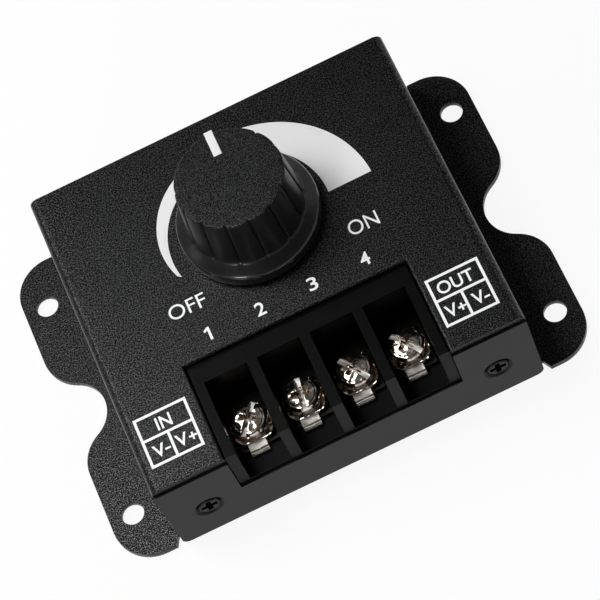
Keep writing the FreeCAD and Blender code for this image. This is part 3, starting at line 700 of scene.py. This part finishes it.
def makeTurnedTree():
    # turns a profile about Z, with flutes and a thread where the profile's shares ask for them
    tree, net = newTree("turned piece", [
        ("Profile", "Geometry"), ("Columns", "Int"), ("Lobes", "Float"), ("Lobe depth", "Float"),
        ("Groove depth", "Float"), ("Groove width", "Float"), ("Thread pitch", "Float"),
        ("Thread depth", "Float"), ("Centre", "Vector"), ("Material", "Material")])
    given = net.node("NodeGroupInput")
    profile = given.out("Profile")
    columns = given.out("Columns")
    rows = net.node("GeometryNodeAttributeDomainSize", {"component": "MESH"}, {"Geometry": profile})
    grid = net.node("GeometryNodeMeshGrid", None, {
        "Size X": columns, "Size Y": rows - 1, "Vertices X": columns + 1, "Vertices Y": rows})
    position = net.node("GeometryNodeInputPosition")
    cell = net.node("ShaderNodeSeparateXYZ", None, {"Vector": position})
    column = net.maths("ROUND", cell.out("X") + columns / 2)
    row = net.maths("ROUND", cell.out("Y") + (rows - 1) / 2)

    def sample(kind, value):
        return net.node("GeometryNodeSampleIndex", {"data_type": kind},
                        {"Geometry": profile, "Value": value, "Index": row})

    def share(label):
        return sample("FLOAT", net.node("GeometryNodeInputNamedAttribute", None, {"Name": label}))

    point = net.node("ShaderNodeSeparateXYZ", None, {"Vector": sample("FLOAT_VECTOR", position)})
    height = point.out("Z")
    part = column / columns  # a groove lies at a quarter turn, under the pointer
    lobe = net.maths("FRACT", (part + 0.25) * given.out("Lobes")) - 0.5
    groove = net.smooth(abs(lobe), 0.5 - given.out("Groove width"), 0.5)
    drop = lobe * lobe * 4 * given.out("Lobe depth") + groove * given.out("Groove depth")
    wave = 1 - abs(net.maths("FRACT", height / given.out("Thread pitch") - part) * 2 - 1)
    radius = (point.out("X") - share("flute") * drop
              - share("thread") * wave * given.out("Thread depth"))
    angle = part * turn
    turned = net.node("ShaderNodeCombineXYZ", None, {
        "X": radius * net.maths("COSINE", angle), "Y": radius * net.maths("SINE", angle), "Z": height})
    shape = net.node("GeometryNodeSetPosition", None, {"Geometry": grid, "Position": turned})
    shape = net.node("GeometryNodeMergeByDistance", None, {"Geometry": shape, "Distance": meshLook.weldGap})
    shape = net.node("GeometryNodeTransform", None,
                     {"Geometry": shape, "Translation": given.out("Centre")})
    closeTree(net, shape, given.out("Material"))
    return tree


def makeRowTree():
    # sets one piece on every point of a mesh, turned as the point's spin says
    tree, net = newTree("pieces in a row", [
        ("Points", "Geometry"), ("Piece", "Object"), ("Material", "Material")])
    given = net.node("NodeGroupInput")
    master = net.node("GeometryNodeObjectInfo", None, {"Object": given.out("Piece")}, "Geometry")
    spin = net.node("GeometryNodeInputNamedAttribute", {"data_type": "FLOAT_VECTOR"}, {"Name": "spin"})
    copies = net.node("GeometryNodeInstanceOnPoints", None,
                      {"Points": given.out("Points"), "Instance": master, "Rotation": spin})
    closeTree(net, copies, given.out("Material"))
    return tree


turnedTree = makeTurnedTree()
rowTree = makeRowTree()


def turned(name, corners, longest, values, shares):
    path = roundedPath(corners, longest)
    piece = grow(name, profileMesh(name, path, shares), turnedTree, values)
    shape = shapeOf(piece.data)
    bmesh.ops.recalc_face_normals(shape, faces=shape.faces)
    shape.to_mesh(piece.data)
    shape.free()
    return piece


def setOut(name, master, places, spin, body, node, slot):
    # copies of a finished master on their places, all turned by spin, as one piece
    points = bpy.data.meshes.new(name)
    points.from_pydata(places, [], [])
    layer = points.attributes.new("spin", "FLOAT_VECTOR", "POINT")
    layer.data.foreach_set("vector", [*spin] * len(places))
    piece = grow(name, points, rowTree, {"Piece": master, "Material": finishOf[slot]})
    return dress(piece, body, node, slot)


def rectangle(x0, y0, x1, y1):
    return [(x0, y0), (x1, y0), (x1, y1), (x0, y1)]


def bar(name, low, high, taper=(0.0, 0.0)):
    # a six-sided cutter whose lower end is narrower by taper on both sides, along X and along Y
    shape = bmesh.new()
    rings = []
    for z, (alongX, alongY) in ((low[2], taper), (high[2], (0.0, 0.0))):
        corners = rectangle(low[0] + alongX, low[1] + alongY, high[0] - alongX, high[1] - alongY)
        rings.append([shape.verts.new((x, y, z)) for x, y in corners])
    skin(shape, rings, capped=True)
    return closedPiece(name, shape)


# Case: the CAD sheets with the soft edges that a coat of paint leaves

caseLook = Look({
    "roundSteps": 4, "sharp": 0.3,  # in radians: how far a rim's edge has to turn to be rounded
    **inMm(coverEdge=0.16, panelEdge=0.14, blockEdge=0.12, contactEdge=0.08,
           windowEdge=0.45, blockRim=0.3, blockCorner=0.7, near=0.01),
})
blockLow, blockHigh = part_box("terminal_block")
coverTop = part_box("cover_shell")[1].z


def rounded(mesh, width, isRim):
    # a wider round on the sharp edges with both ends where isRim says
    shape = shapeOf(mesh)
    rim = [edge for edge in shape.edges
           if edge.is_manifold and edge.calc_face_angle() > caseLook.sharp
           and all(isRim(vert.co) for vert in edge.verts)]
    bmesh.ops.bevel(shape, geom=rim, offset=width, segments=caseLook.roundSteps, profile=0.5,
                    affect="EDGES", clamp_overlap=True)
    return meshOf(mesh.name, shape)


def softCopy(name, node, slot, edge, rims=(), paint=None):
    # a CAD node's copy with soft edges, after the wider rounds on its rims
    mesh = mergedCopy(node, name)
    for width, isRim in rims:
        mesh = rounded(mesh, width, isRim)
    dress(softenEdges(addPiece(name, mesh), edge), "case", node, slot, paint)


def buildCase():
    # the window's rim is rolled in and the terminal block's rim rounded, so that a dark line parts them
    c = caseLook
    near = c.near
    wide = c.blockCorner

    def onWindow(at):
        return at.z > coverTop - near and abs(at.x) < blockHigh.x + wide and at.y < blockHigh.y + wide

    def onCorner(at):
        return abs(at.x) > blockHigh.x - near and at.y > blockHigh.y - near

    def onRim(at):
        outer = abs(at.x) > blockHigh.x - wide - near or at.y > blockHigh.y - wide - near
        return at.z > blockHigh.z - near and outer

    softCopy("coverShell", "cover_shell", "case_coat", c.coverEdge, [(c.windowEdge, onWindow)])
    softCopy("baseTray", "base_tray", "panel_coat", c.panelEdge)
    softCopy("terminalBlock", "terminal_block", "block_plastic", c.blockEdge,
             [(c.blockCorner, onCorner), (c.blockRim, onRim)])


buildCase()
print("case sheets and terminal block dressed")


# Knob: a fluted, skirted moulding turned about its shaft

knobLow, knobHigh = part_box("knob")
knobAxis = middleOf("knob")
knobLook = Look({
    "lobes": 14, "columnsPerLobe": 16, "grooveWidth": 0.09, "fluteCurve": 0.6, "creaseAngle": 48,
    "skirtRadius": (knobHigh.x - knobLow.x) / 2, "skirtTop": knobLow.z + 2.4 * mm,
    "footHeight": knobLow.z + 3.7 * mm, "bossBottom": knobLow.z + 4.4 * mm,
    "boreTop": knobHigh.z - 2.4 * mm,
    **inMm(topRadius=9.3, topEdge=0.28, topLand=0.9, footRadius=10.25, footRise=0.35, footRound=1.1,
           skirtRound=1.2, skirtUnder=0.5, hollowRadius=7.4, hollowEdge=0.2, hollowRound=0.5, roof=2.0,
           bossRadius=4.9, bossRoot=0.4, bossEdge=0.2, boreRadius=3.02, boreEdge=0.1,
           lobeDepth=0.1, grooveDepth=0.42, fluteFoot=0.3, fluteFade=2.2, longest=0.6,
           pointerGap=0.02, pastRim=3, pastTop=1),
})


def fluteShare(radius, height):
    # full on the side, none on the flat top, and fading out where the lobes meet the skirt
    k = knobLook
    over = height - k.footHeight + k.fluteFoot
    if radius < k.topRadius - k.topLand or over < 0:
        return 0.0
    return min(1.0, over / k.fluteFade) ** k.fluteCurve


def buildKnob():
    k = knobLook
    top = knobHigh.z
    roof = top - k.roof
    corners = [
        (0, top, 0), (k.topRadius, top, k.topEdge),
        (k.footRadius, k.footHeight + k.footRise, k.footRound),
        (k.skirtRadius, k.skirtTop, k.skirtRound),
        (k.skirtRadius, knobLow.z, k.skirtUnder), (k.hollowRadius, knobLow.z, k.hollowEdge),
        (k.hollowRadius, roof, k.hollowRound), (k.bossRadius, roof, k.bossRoot),
        (k.bossRadius, k.bossBottom, k.bossEdge),
        (k.boreRadius, k.bossBottom, k.boreEdge),
        (k.boreRadius, k.boreTop, 0), (0, k.boreTop, 0),
    ]
    knob = turned("knobBody", corners, k.longest, {
        "Columns": k.lobes * k.columnsPerLobe, "Lobes": float(k.lobes),
        "Lobe depth": k.lobeDepth, "Groove depth": k.grooveDepth, "Groove width": k.grooveWidth,
        "Centre": (knobAxis.x, knobAxis.y, 0)}, {"flute": fluteShare})
    low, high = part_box("knob_pointer")
    gap = k.pointerGap
    combine(knob, "DIFFERENCE", [
        bar("pointerGroove", (low.x - gap, low.y - gap, low.z),
            (high.x + gap, high.y + k.pastRim, high.z + k.pastTop))])
    knob.data.shade_smooth()
    knob.data.set_sharp_from_angle(angle=math.radians(k.creaseAngle))
    dress(knob, "knob_assembly", "knob", "knob_plastic")


pointerLook = Look({
    "rimSteps": 4, **inMm(over=0.6, side=0.12, lip=1.3, lipFoot=1.9, lipThick=0.9, softEdge=0.07),
})


def buildPointer():
    # a white inlay that runs over the rim and ends a little way down the side
    p = pointerLook
    low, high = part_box("knob_pointer")
    edge = knobLook.topEdge
    rim = knobAxis.y + knobLook.topRadius + p.over
    path = [(low.y, high.z), (rim - edge, high.z)]
    for step in range(1, p.rimSteps + 1):
        angle = turn / 4 * step / p.rimSteps
        path.append((rim - edge * (1 - math.sin(angle)), high.z - edge * (1 - math.cos(angle))))
    path += [(rim, high.z - p.lip), (rim - p.lipThick, high.z - p.lipFoot),
             (rim - p.lipThick, low.z), (low.y, low.z)]
    shape = bmesh.new()
    sides = [[shape.verts.new((x, y, z)) for y, z in path]
             for x in (low.x + p.side, high.x - p.side)]
    skin(shape, sides, capped=True)
    pointer = softenEdges(closedPiece("knobPointer", shape), p.softEdge)
    dress(pointer, "knob_assembly", "knob_pointer", "pointer_white")


buildKnob()
buildPointer()
print("knob turned")


# Screws: a turned, threaded shape with a driver's recess, copied to the places of the CAD screws

def threadedScrew(name, corners, look, threadTop):
    # the thread runs up the shank to threadTop
    def threadShare(distance, height):
        return float(abs(distance - look.shank) < look.threadNear and height < threadTop)

    return turned(name, corners, look.longest, {
        "Columns": look.columns, "Thread pitch": look.threadPitch,
        "Thread depth": look.threadDepth}, {"thread": threadShare})


def crossBars(look, top):
    # the two cutters of a cross recess, narrower at the bottom and with sloping ends
    wide = look.crossWidth / 2
    deep = top - look.crossDepth
    over = top + look.crossOver
    taper = look.crossTaper
    along = look.crossAlong
    across = look.crossAcross
    return [
        bar("crossAlong", (-along, -wide, deep), (along, wide, over), (look.slopeAlong, taper)),
        bar("crossAcross", (-wide, -across, deep), (wide, across, over), (taper, look.slopeAcross)),
    ]


# Terminal screws and the clamp washers under them

ways = (1, 2, 3, 4)
screwLook = Look({
    "columns": 64, "domeSteps": 8, "slotAngles": (52.6, 82.1, 123.7, 126.6),
    "wallSlope": 0.6, "floorSlope": 0.9,  # how upright or level a face of the recess has to be
    **inMm(domeRadius=10.0, step=2.35, stepWidth=0.12, stepDepth=0.13, stepEdge=0.05, stepRoot=0.08,
           shoulder=2.9, shoulderDrop=0.07, shoulderRound=0.4, edge=1.05, edgeRound=0.3, seatRound=0.12,
           shank=1.75, shankLength=4.5, tipRound=0.25, longest=0.12,
           threadPitch=0.6, threadDepth=0.3, threadNear=0.01, threadGap=0.2,
           slotPast=1, slotWidth=1.0, slotDepth=0.95, crossOver=1, crossAlong=2.1, crossAcross=2.15,
           crossWidth=1.2, crossDepth=1.9, crossTaper=0.4, slopeAlong=1.05, slopeAcross=1.5,
           mattInner=1.5, mattRim=0.25, mattDepth=0.8, mattFoot=0.05, softEdge=0.06),
})


def buildTerminalScrews():
    s = screwLook
    low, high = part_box("terminal_screw_1")
    radius = (high.x - low.x) / 2
    top = high.z
    seat = low.z + s.shankLength

    def dome(reach):
        # the height of the domed top
        return top - s.domeRadius + math.sqrt(s.domeRadius ** 2 - reach ** 2)

    step = s.step
    reaches = [step * part / s.domeSteps for part in range(s.domeSteps)]
    corners = [(reach, dome(reach), 0) for reach in reaches]
    corners += [
        (step, dome(step), s.stepEdge),
        (step + s.stepWidth, dome(step) - s.stepDepth, s.stepRoot),
        (s.shoulder, dome(s.shoulder) - s.shoulderDrop, s.shoulderRound),
        (radius, top - s.edge, s.edgeRound), (radius, seat, s.seatRound),
        (s.shank, seat, 0), (s.shank, low.z, s.tipRound), (0, low.z, 0),
    ]
    screw = threadedScrew("screwMaster", corners, s, seat - s.threadGap)
    reach = radius + s.slotPast
    half = s.slotWidth / 2
    slot = bar("slot", (-reach, -half, top - s.slotDepth), (reach, half, top + s.crossOver))
    combine(screw, "DIFFERENCE", [slot, *crossBars(s, top)])

    def inRecess(centre, normal):
        distance = math.hypot(centre.x, centre.y)
        wall = abs(normal.z) < s.wallSlope and s.mattInner < distance < radius - s.mattRim
        floor = normal.z > s.floorSlope and centre.z < top - s.mattDepth
        return centre.z > seat + s.mattFoot and (wall or floor)

    markMatt(screw, inRecess)
    softenEdges(screw, s.softEdge)
    for way, angle in zip(ways, s.slotAngles):
        node = "terminal_screw_" + str(way)
        middle = middleOf(node)
        setOut("terminalScrew" + str(way), screw, [(middle.x, middle.y, 0)],
               (0, 0, math.radians(angle)), "screw_" + str(way), node, "nickel")
    bpy.data.objects.remove(screw)


washerLook = Look({
    "columns": 72, "rings": 8, "halvings": 40, "liftStart": 0.6, "mattSlope": 0.96,
    **inMm(corner=1.7, hole=1.9, depth=6.7, trim=0.1, thick=0.8, lift=1.2, softEdge=0.14,
           tabWidth=3.15, tabThick=0.5, tabBend=0.3, tabShift=-0.4, toeLength=0.12, longest=1),
})


def roundedSquare(angle, halfX, halfY, corner):
    # how far the outline of a rounded rectangle lies from its middle at an angle
    along = Vector((math.cos(angle), math.sin(angle)))
    low, high = 0.0, halfX + halfY
    for _ in range(washerLook.halvings):
        reach = (low + high) / 2
        x = abs(along.x) * reach - (halfX - corner)
        y = abs(along.y) * reach - (halfY - corner)
        outside = math.hypot(max(x, 0), max(y, 0)) + min(max(x, y), 0) > corner
        low, high = (low, reach) if outside else (reach, high)
    return low


def addHook(washer, low, front, back, seat):
    # it runs level, bends down past the contact's front edge and ends in a short toe
    w = washerLook
    thick = w.tabThick
    level = seat - w.thick + thick / 2
    outside = front + w.toeLength + thick / 2
    bottom = low.z + thick / 2
    path = roundedPath([(back, level, 0), (outside, level, w.tabBend),
                        (outside, bottom, w.tabBend), (front, bottom, 0)], w.longest)
    hook = bmesh.new()
    sections = []
    for before, point, after in zip([path[0], *path], path, [*path[1:], path[-1]]):
        along = (after - before).normalized()
        across = Vector((-along.y, along.x)) * thick / 2
        section = []
        for side, offset in ((-1, across), (1, across), (1, -across), (-1, -across)):
            edge = point + offset
            section.append(hook.verts.new((w.tabShift + side * w.tabWidth / 2, edge.x, edge.y)))
        sections.append(section)
    skin(hook, sections, capped=True)
    combine(washer, "UNION", [closedPiece("hookMaster", hook)])


def buildWashers():
    # a square plate with its sides curled up round the head, and a hook in front of the contact
    w = washerLook
    low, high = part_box("clamp_washer_1")
    centreY = middleOf("terminal_screw_1").y
    halfX = (high.x - low.x) / 2 - w.trim
    halfY = w.depth / 2
    plate = bmesh.new()

    def ring(part, drop):
        # a ring of points, part of the way from the hole to the outline
        points = []
        for column in range(w.columns):
            angle = turn * column / w.columns
            reach = roundedSquare(angle, halfX, halfY, w.corner)
            distance = w.hole + (reach - w.hole) * part
            x = distance * math.cos(angle)
            y = distance * math.sin(angle)
            side = max(0.0, abs(x) / halfX - w.liftStart) / (1 - w.liftStart)
            points.append(plate.verts.new((x, y, high.z - drop + w.lift * side ** 2)))
        return points

    parts = [k / w.rings for k in range(w.rings + 1)]
    upper = [ring(part, 0.0) for part in parts]
    lower = [ring(part, w.thick) for part in parts]
    skin(plate, [*upper, *lower[::-1], upper[0]])
    washer = closedPiece("washerMaster", plate)
    addHook(washer, low, low.y - centreY, w.corner - halfY, high.z)

    def onHook(centre, normal):
        # its level and its upright faces
        return centre.y < -halfY and max(abs(normal.y), abs(normal.z)) > w.mattSlope

    markMatt(washer, onHook)
    softenEdges(washer, w.softEdge)
    for way in ways:
        node = "clamp_washer_" + str(way)
        setOut("clampWasher" + str(way), washer, [(middleOf(node).x, centreY, 0)], (0, 0, 0),
               "clamp_" + str(way), node, "nickel")
    bpy.data.objects.remove(washer)


buildTerminalScrews()
buildWashers()
# the contacts wear nickel painted nearly black, as painted shade deep in the block
softCopy("terminalContacts", "terminal_contacts", "nickel", caseLook.contactEdge,
         paint=clouded("nickel darkened as shade"))
print("terminals made")


# Case screws: countersunk, with a cross recess

caseScrewLook = Look({
    "columns": 48,
    **inMm(head=2.34, headTrim=0.05, rim=0.3, neckRound=0.1, shank=1.5, length=6.0, tipRound=0.3,
           longest=0.12, threadPitch=0.5, threadDepth=0.22, threadNear=0.01, threadGap=0.3,
           crossOver=0.3, crossAlong=1.6, crossAcross=1.6, crossWidth=1.0, crossDepth=1.1,
           crossTaper=0.2, slopeAlong=0.7, slopeAcross=0.7, mattWider=0.05, mattEdge=0.1,
           softEdge=0.08, sunk=0.08),
})


def buildCaseScrews():
    s = caseScrewLook
    cone = s.head - s.shank
    corners = [
        (0, 0, 0), (s.head - s.headTrim, 0, s.rim), (s.shank, -cone, s.neckRound),
        (s.shank, -s.length, s.tipRound), (0, -s.length, 0),
    ]
    screw = threadedScrew("caseScrewMaster", corners, s, -cone - s.threadGap)
    combine(screw, "DIFFERENCE", crossBars(s, 0))

    # the marked recess gets the blacked steel's painted shade, a near black
    def inRecess(centre, normal):
        near = math.hypot(centre.x, centre.y) < s.crossAlong + s.mattWider
        return near and -s.crossDepth - s.mattEdge < centre.z < -s.mattEdge

    markMatt(screw, inRecess)
    softenEdges(screw, s.softEdge)
    for name, node, side in (("frontCaseScrews", "front_case_screws", 1),
                             ("rearCaseScrews", "rear_case_screws", -1)):
        places = []
        for low, high in lumps(node):
            face = low.y + s.sunk if side > 0 else high.y - s.sunk
            places.append(((low.x + high.x) / 2, face, (low.z + high.z) / 2))
        setOut(name, screw, places, (side * turn / 4, 0, 0), "case", node, "black_steel")
    bpy.data.objects.remove(screw)


buildCaseScrews()
print("case screws made")


# Print on the cover: the widening scale, OFF and ON, the input and output tables and terminal numbers

printLook = Look({
    "scaleCentre": (-0.52 * mm, 7.03 * mm), "leftCentre": (-1.48 * mm, 9.32 * mm),
    "rightCentre": (1.69 * mm, 5.57 * mm), "steps": 120,
    "innerEnds": (193.3, -2.7), "outerEnds": (190.7, -1.6), "rightUntil": 70, "leftOver": 53,  # degrees
    "curveSteps": 5, "letterWeld": 0.0001, "headingBold": 0.014, "letterBold": 0.016, "digitBold": 0.012,
    "one": [(0.1, -1.25), (0.55, -1.25), (0.55, 1.25), (0.2, 1.25), (-0.55, 0.75), (-0.4, 0.38),
            (0.1, 0.7)],
    **inMm(sunk=0.02, proud=0.025, scaleInner=14.22, leftRadius=14.43, rightRadius=19.92, line=0.47,
           tableHalf=4.72, tableMiddle=26.3, tableShift=-0.3, tableTop=-16.87, tableSplit=-21.27,
           tableBottom=-26.37, headingDrop=0.25, headingHeight=2.35, letterWidth=2.0, letterHeight=2.3,
           signThin=0.17, minusArm=0.48, plusArm=0.68, digitY=-8.2, digitWidth=1.65, digitHeight=2.5),
})
words = [
    {"name": "printedOff", "text": "OFF", **inMm(x=-15.6, y=-1.85, width=6.6, height=2.75)},
    {"name": "printedOn", "text": "ON", **inMm(x=16.55, y=-2.0, width=5.3, height=2.8)},
]
tables = [
    {"name": "printedInput", "side": -1, "heading": "IN", **inMm(headingX=0, headingWidth=2.65),
     "cells": [{"sign": "-", **inMm(letterX=-0.1, signX=1.36, signY=-0.25)},
               {"sign": "+", **inMm(letterX=-0.77, signX=1.12, signY=-0.15)}]},
    {"name": "printedOutput", "side": 1, "heading": "OUT", **inMm(headingX=-0.18, headingWidth=6.4),
     "cells": [{"sign": "+", **inMm(letterX=-0.42, signX=1.38, signY=-0.15)},
               {"sign": "-", **inMm(letterX=-0.34, signX=1.0, signY=-0.45)}]},
]
printLow = coverTop - printLook.sunk
printHigh = coverTop + printLook.proud


def reachTo(centre, radius, angle):
    # how far a circle lies from the scale's centre in one direction
    away = Vector(centre) - Vector(printLook.scaleCentre)
    along = away.dot(Vector((math.cos(angle), math.sin(angle))))
    return along + math.sqrt(radius ** 2 - away.length_squared + along ** 2)


def scaleOutline():
    # the inner edge is one circle; the outer one goes over from the right circle to the left one
    p = printLook
    steps = p.steps

    def angleAt(ends, step):
        return math.radians(ends[0] + (ends[1] - ends[0]) * step / steps)

    points = [(angleAt(p.innerEnds, step), p.scaleInner) for step in range(steps + 1)]
    for step in range(steps, -1, -1):
        angle = angleAt(p.outerEnds, step)
        left = min(max((math.degrees(angle) - p.rightUntil) / p.leftOver, 0), 1)
        left = left * left * (3 - 2 * left)
        outer = (reachTo(p.leftCentre, p.leftRadius, angle) * left
                 + reachTo(p.rightCentre, p.rightRadius, angle) * (1 - left))
        points.append((angle, outer))
    x, y = p.scaleCentre
    return [(x + reach * math.cos(angle), y + reach * math.sin(angle)) for angle, reach in points]


def inkPlate(name, loops):
    # a thin plate of ink from an outline and then its holes
    plate = bmesh.new()
    flat = [point for loop in loops for point in loop]
    lower = [plate.verts.new((x, y, printLow)) for x, y in flat]
    upper = [plate.verts.new((x, y, printHigh)) for x, y in flat]
    for a, b, c in tessellate_polygon([[Vector((x, y, 0)) for x, y in loop] for loop in loops]):
        plate.faces.new((upper[a], upper[b], upper[c]))
        plate.faces.new((lower[c], lower[b], lower[a]))
    first = 0
    for loop in loops:
        end = first + len(loop)
        skin(plate, [lower[first:end], upper[first:end]])
        first = end
    return closedPiece(name, plate)


def word(name, text, x, y, width, height, boldness=0.0):
    # letters as a thin plate of ink, stretched to the size of the printed word
    letters = bpy.data.curves.new(name, "FONT")
    letters.body = text
    letters.extrude = 1.0
    letters.offset = boldness
    letters.resolution_u = printLook.curveSteps
    piece = addPiece(name, letters)
    graph = bpy.context.evaluated_depsgraph_get()
    shape = shapeOf(bpy.data.meshes.new_from_object(piece.evaluated_get(graph)))
    bpy.data.objects.remove(piece)
    bmesh.ops.remove_doubles(shape, verts=shape.verts, dist=printLook.letterWeld)
    xs = [vert.co.x for vert in shape.verts]
    ys = [vert.co.y for vert in shape.verts]
    for vert in shape.verts:
        across = (vert.co.x - min(xs)) / (max(xs) - min(xs)) - 0.5
        up = (vert.co.y - min(ys)) / (max(ys) - min(ys)) - 0.5
        vert.co = (x + across * width, y + up * height, printHigh if vert.co.z > 0 else printLow)
    return closedPiece(name, shape)


def joined(name, pieces):
    whole = bmesh.new()
    for piece in pieces:
        whole.from_mesh(piece.data)
        bpy.data.objects.remove(piece)
    return addPiece(name, meshOf(name, whole))


def signLoop(sign, x, y):
    # a minus is a bar, and a plus is three corners of its outline in four quarter turns
    p = printLook
    thin = p.signThin
    arm = p.minusArm
    if sign == "-":
        return rectangle(x - arm, y - thin, x + arm, y + thin)
    arm = p.plusArm
    quarter = [(-arm, -thin), (-thin, -thin), (-thin, -arm)]
    loop = []
    for _ in range(4):
        loop += [(x + across, y + up) for across, up in quarter]
        quarter = [(-up, across) for across, up in quarter]
    return loop


def table(name, side, heading, headingX, headingWidth, cells):
    # a box of two rows: the heading, and a cell for each terminal
    p = printLook
    line = p.line
    half = line / 2
    top = p.tableTop
    split = p.tableSplit
    bottom = p.tableBottom
    middle = side * p.tableMiddle + p.tableShift
    x0 = middle - p.tableHalf
    x1 = middle + p.tableHalf
    lines = inkPlate(name + "Lines", [
        rectangle(x0, bottom, x1, top),
        rectangle(x0 + line, split + half, x1 - line, top - line)[::-1],
        rectangle(x0 + line, bottom + line, middle - half, split - half)[::-1],
        rectangle(middle + half, bottom + line, x1 - line, split - half)[::-1],
    ])
    upper = (top + split) / 2 - p.headingDrop
    lower = (bottom + split) / 2
    pieces = [lines, word(name + "Heading", heading, middle + headingX, upper, headingWidth,
                          p.headingHeight, p.headingBold)]
    for place, cell in zip((-1, 1), cells):
        x = middle + place * p.tableHalf / 2
        pieces.append(word(name + "V" + str(place), "V", x + cell["letterX"], lower, p.letterWidth,
                           p.letterHeight, p.letterBold))
        loop = signLoop(cell["sign"], x + cell["signX"], lower + cell["signY"])
        pieces.append(inkPlate(name + "Sign" + str(place), [loop]))
    return joined(name, pieces)


def buildDigits():
    # one over each way; the 1 has an outline of its own
    p = printLook
    digits = []
    for way in ways:
        name = "digit" + str(way)
        middle = middleOf("terminal_screw_" + str(way)).x
        if way == 1:
            loop = [(middle + x * mm, p.digitY + y * mm) for x, y in p.one]
            digits.append(inkPlate(name, [loop]))
        else:
            digits.append(word(name, str(way), middle, p.digitY, p.digitWidth, p.digitHeight,
                               p.digitBold))
    return joined("printedNumbers", digits)


def buildPrint():
    ink = finish("print ink", printedWhite)
    dress(inkPlate("printedScale", [scaleOutline()]), "case", None, "pointer_white")
    prints = [word(**look) for look in words] + [table(**look) for look in tables] + [buildDigits()]
    for piece in prints:
        dress(piece, "case", None, "pointer_white", ink)


buildPrint()
print("cover printed")


# Stage: a pale floor, soft light and the photograph's camera

stageLook = Look({
    "floorRadius": 3.0, "floorSides": 96, "floorDrop": 0.1 * mm, "floorColour": 0.88, "floorGlow": 0.9,
    "leftWall": 0.2, "rightWall": 0.75, "sideGrade": 0.7, "ceiling": 0.1, "gradeLow": 0.05, "gradeHigh": 0.65,
})
lamps = [
    {"name": "key", "place": (-0.14, 0.075, 0.38), "size": 0.22, "power": 1.15},
    {"name": "edge", "place": (-0.30, 0.08, 0.14), "size": 0.07, "power": 0.05},
    {"name": "window", "place": (-0.205, 0.16, 0.215), "size": 0.1, "power": 0.14},
    {"name": "front", "place": (-0.29, -0.32, 0.15), "size": 0.12, "power": 0.65},
    {"name": "fill", "place": (0.30, 0.12, 0.22), "size": 0.2, "power": 0.11},
]
cameraLook = Look({
    "aim": (0.00135, 0.00180, 0.0), "place": (0.010406, -0.24496, 0.43503),
    "right": (0.90141, -0.36829, -0.22765), "lens": 174.76, "sensor": 36.0, "near": 0.01, "far": 20,
})


def buildFloor():
    s = stageLook
    shape = bmesh.new()
    bmesh.ops.create_circle(shape, cap_ends=True, segments=s.floorSides, radius=s.floorRadius)
    bmesh.ops.translate(shape, verts=shape.verts, vec=(0, 0, -s.floorDrop))
    floor = addPiece("floor", meshOf("floor", shape))
    paint = bpy.data.materials.new("pale floor")
    paint.use_nodes = True
    net = Net(paint.node_tree)
    path = net.node("ShaderNodeLightPath")
    seen = net.maths("MAXIMUM", path.out("Is Camera Ray"),
                     net.maths("MAXIMUM", path.out("Is Glossy Ray"), path.out("Is Transmission Ray")))
    matt = net.node("ShaderNodeBsdfDiffuse", None, {"Color": grey(s.floorColour)})
    glow = net.node("ShaderNodeEmission", None, {"Color": grey(1.0), "Strength": 1.0})
    both = net.node("ShaderNodeMixShader", None, {0: seen * s.floorGlow, 1: matt, 2: glow})
    net.node("ShaderNodeOutputMaterial", None, {"Surface": both})
    floor.data.materials.append(paint)


def buildWorld():
    s = stageLook
    world = bpy.data.worlds.new("soft room")
    bpy.context.scene.world = world
    world.use_nodes = True
    net = Net(world.node_tree)
    ray = net.node("ShaderNodeTexCoord", output="Generated")
    along = net.node("ShaderNodeSeparateXYZ", None, {"Vector": ray})
    rise = net.smooth(along.out("Z"), s.gradeLow, s.gradeHigh)
    across = net.smooth(along.out("X"), -s.sideGrade, s.sideGrade)
    walls = net.blendColour(across, grey(s.leftWall), grey(s.rightWall))
    colour = net.blendColour(rise, walls, grey(s.ceiling))
    sky = net.node("ShaderNodeBackground", None, {"Color": colour, "Strength": 1.0})
    net.node("ShaderNodeOutputWorld", None, {"Surface": sky})


def buildLamps():
    for lamp in lamps:
        light = bpy.data.lights.new(lamp["name"], "AREA")
        light.shape = "DISK"
        light.size = lamp["size"]
        light.energy = lamp["power"]
        holder = addPiece(lamp["name"], light)
        place = Vector(lamp["place"])
        holder.location = place
        holder.rotation_euler = (-place).to_track_quat("-Z", "Y").to_euler()


def buildCamera():
    c = cameraLook
    lens = bpy.data.cameras.new("photo camera")
    lens.lens = c.lens
    lens.sensor_width = c.sensor
    lens.clip_start = c.near
    lens.clip_end = c.far
    camera = addPiece("photo camera", lens)
    right = Vector(c.right).normalized()
    back = (Vector(c.place) - Vector(c.aim)).normalized()
    right = (right - back * right.dot(back)).normalized()
    up = back.cross(right)
    camera.matrix_world = Matrix.Translation(c.place) @ Matrix((right, up, back)).transposed().to_4x4()
    bpy.context.scene.camera = camera


buildFloor()
buildWorld()
buildLamps()
buildCamera()
bpy.context.scene.view_settings.view_transform = "Standard"
print("stage set")
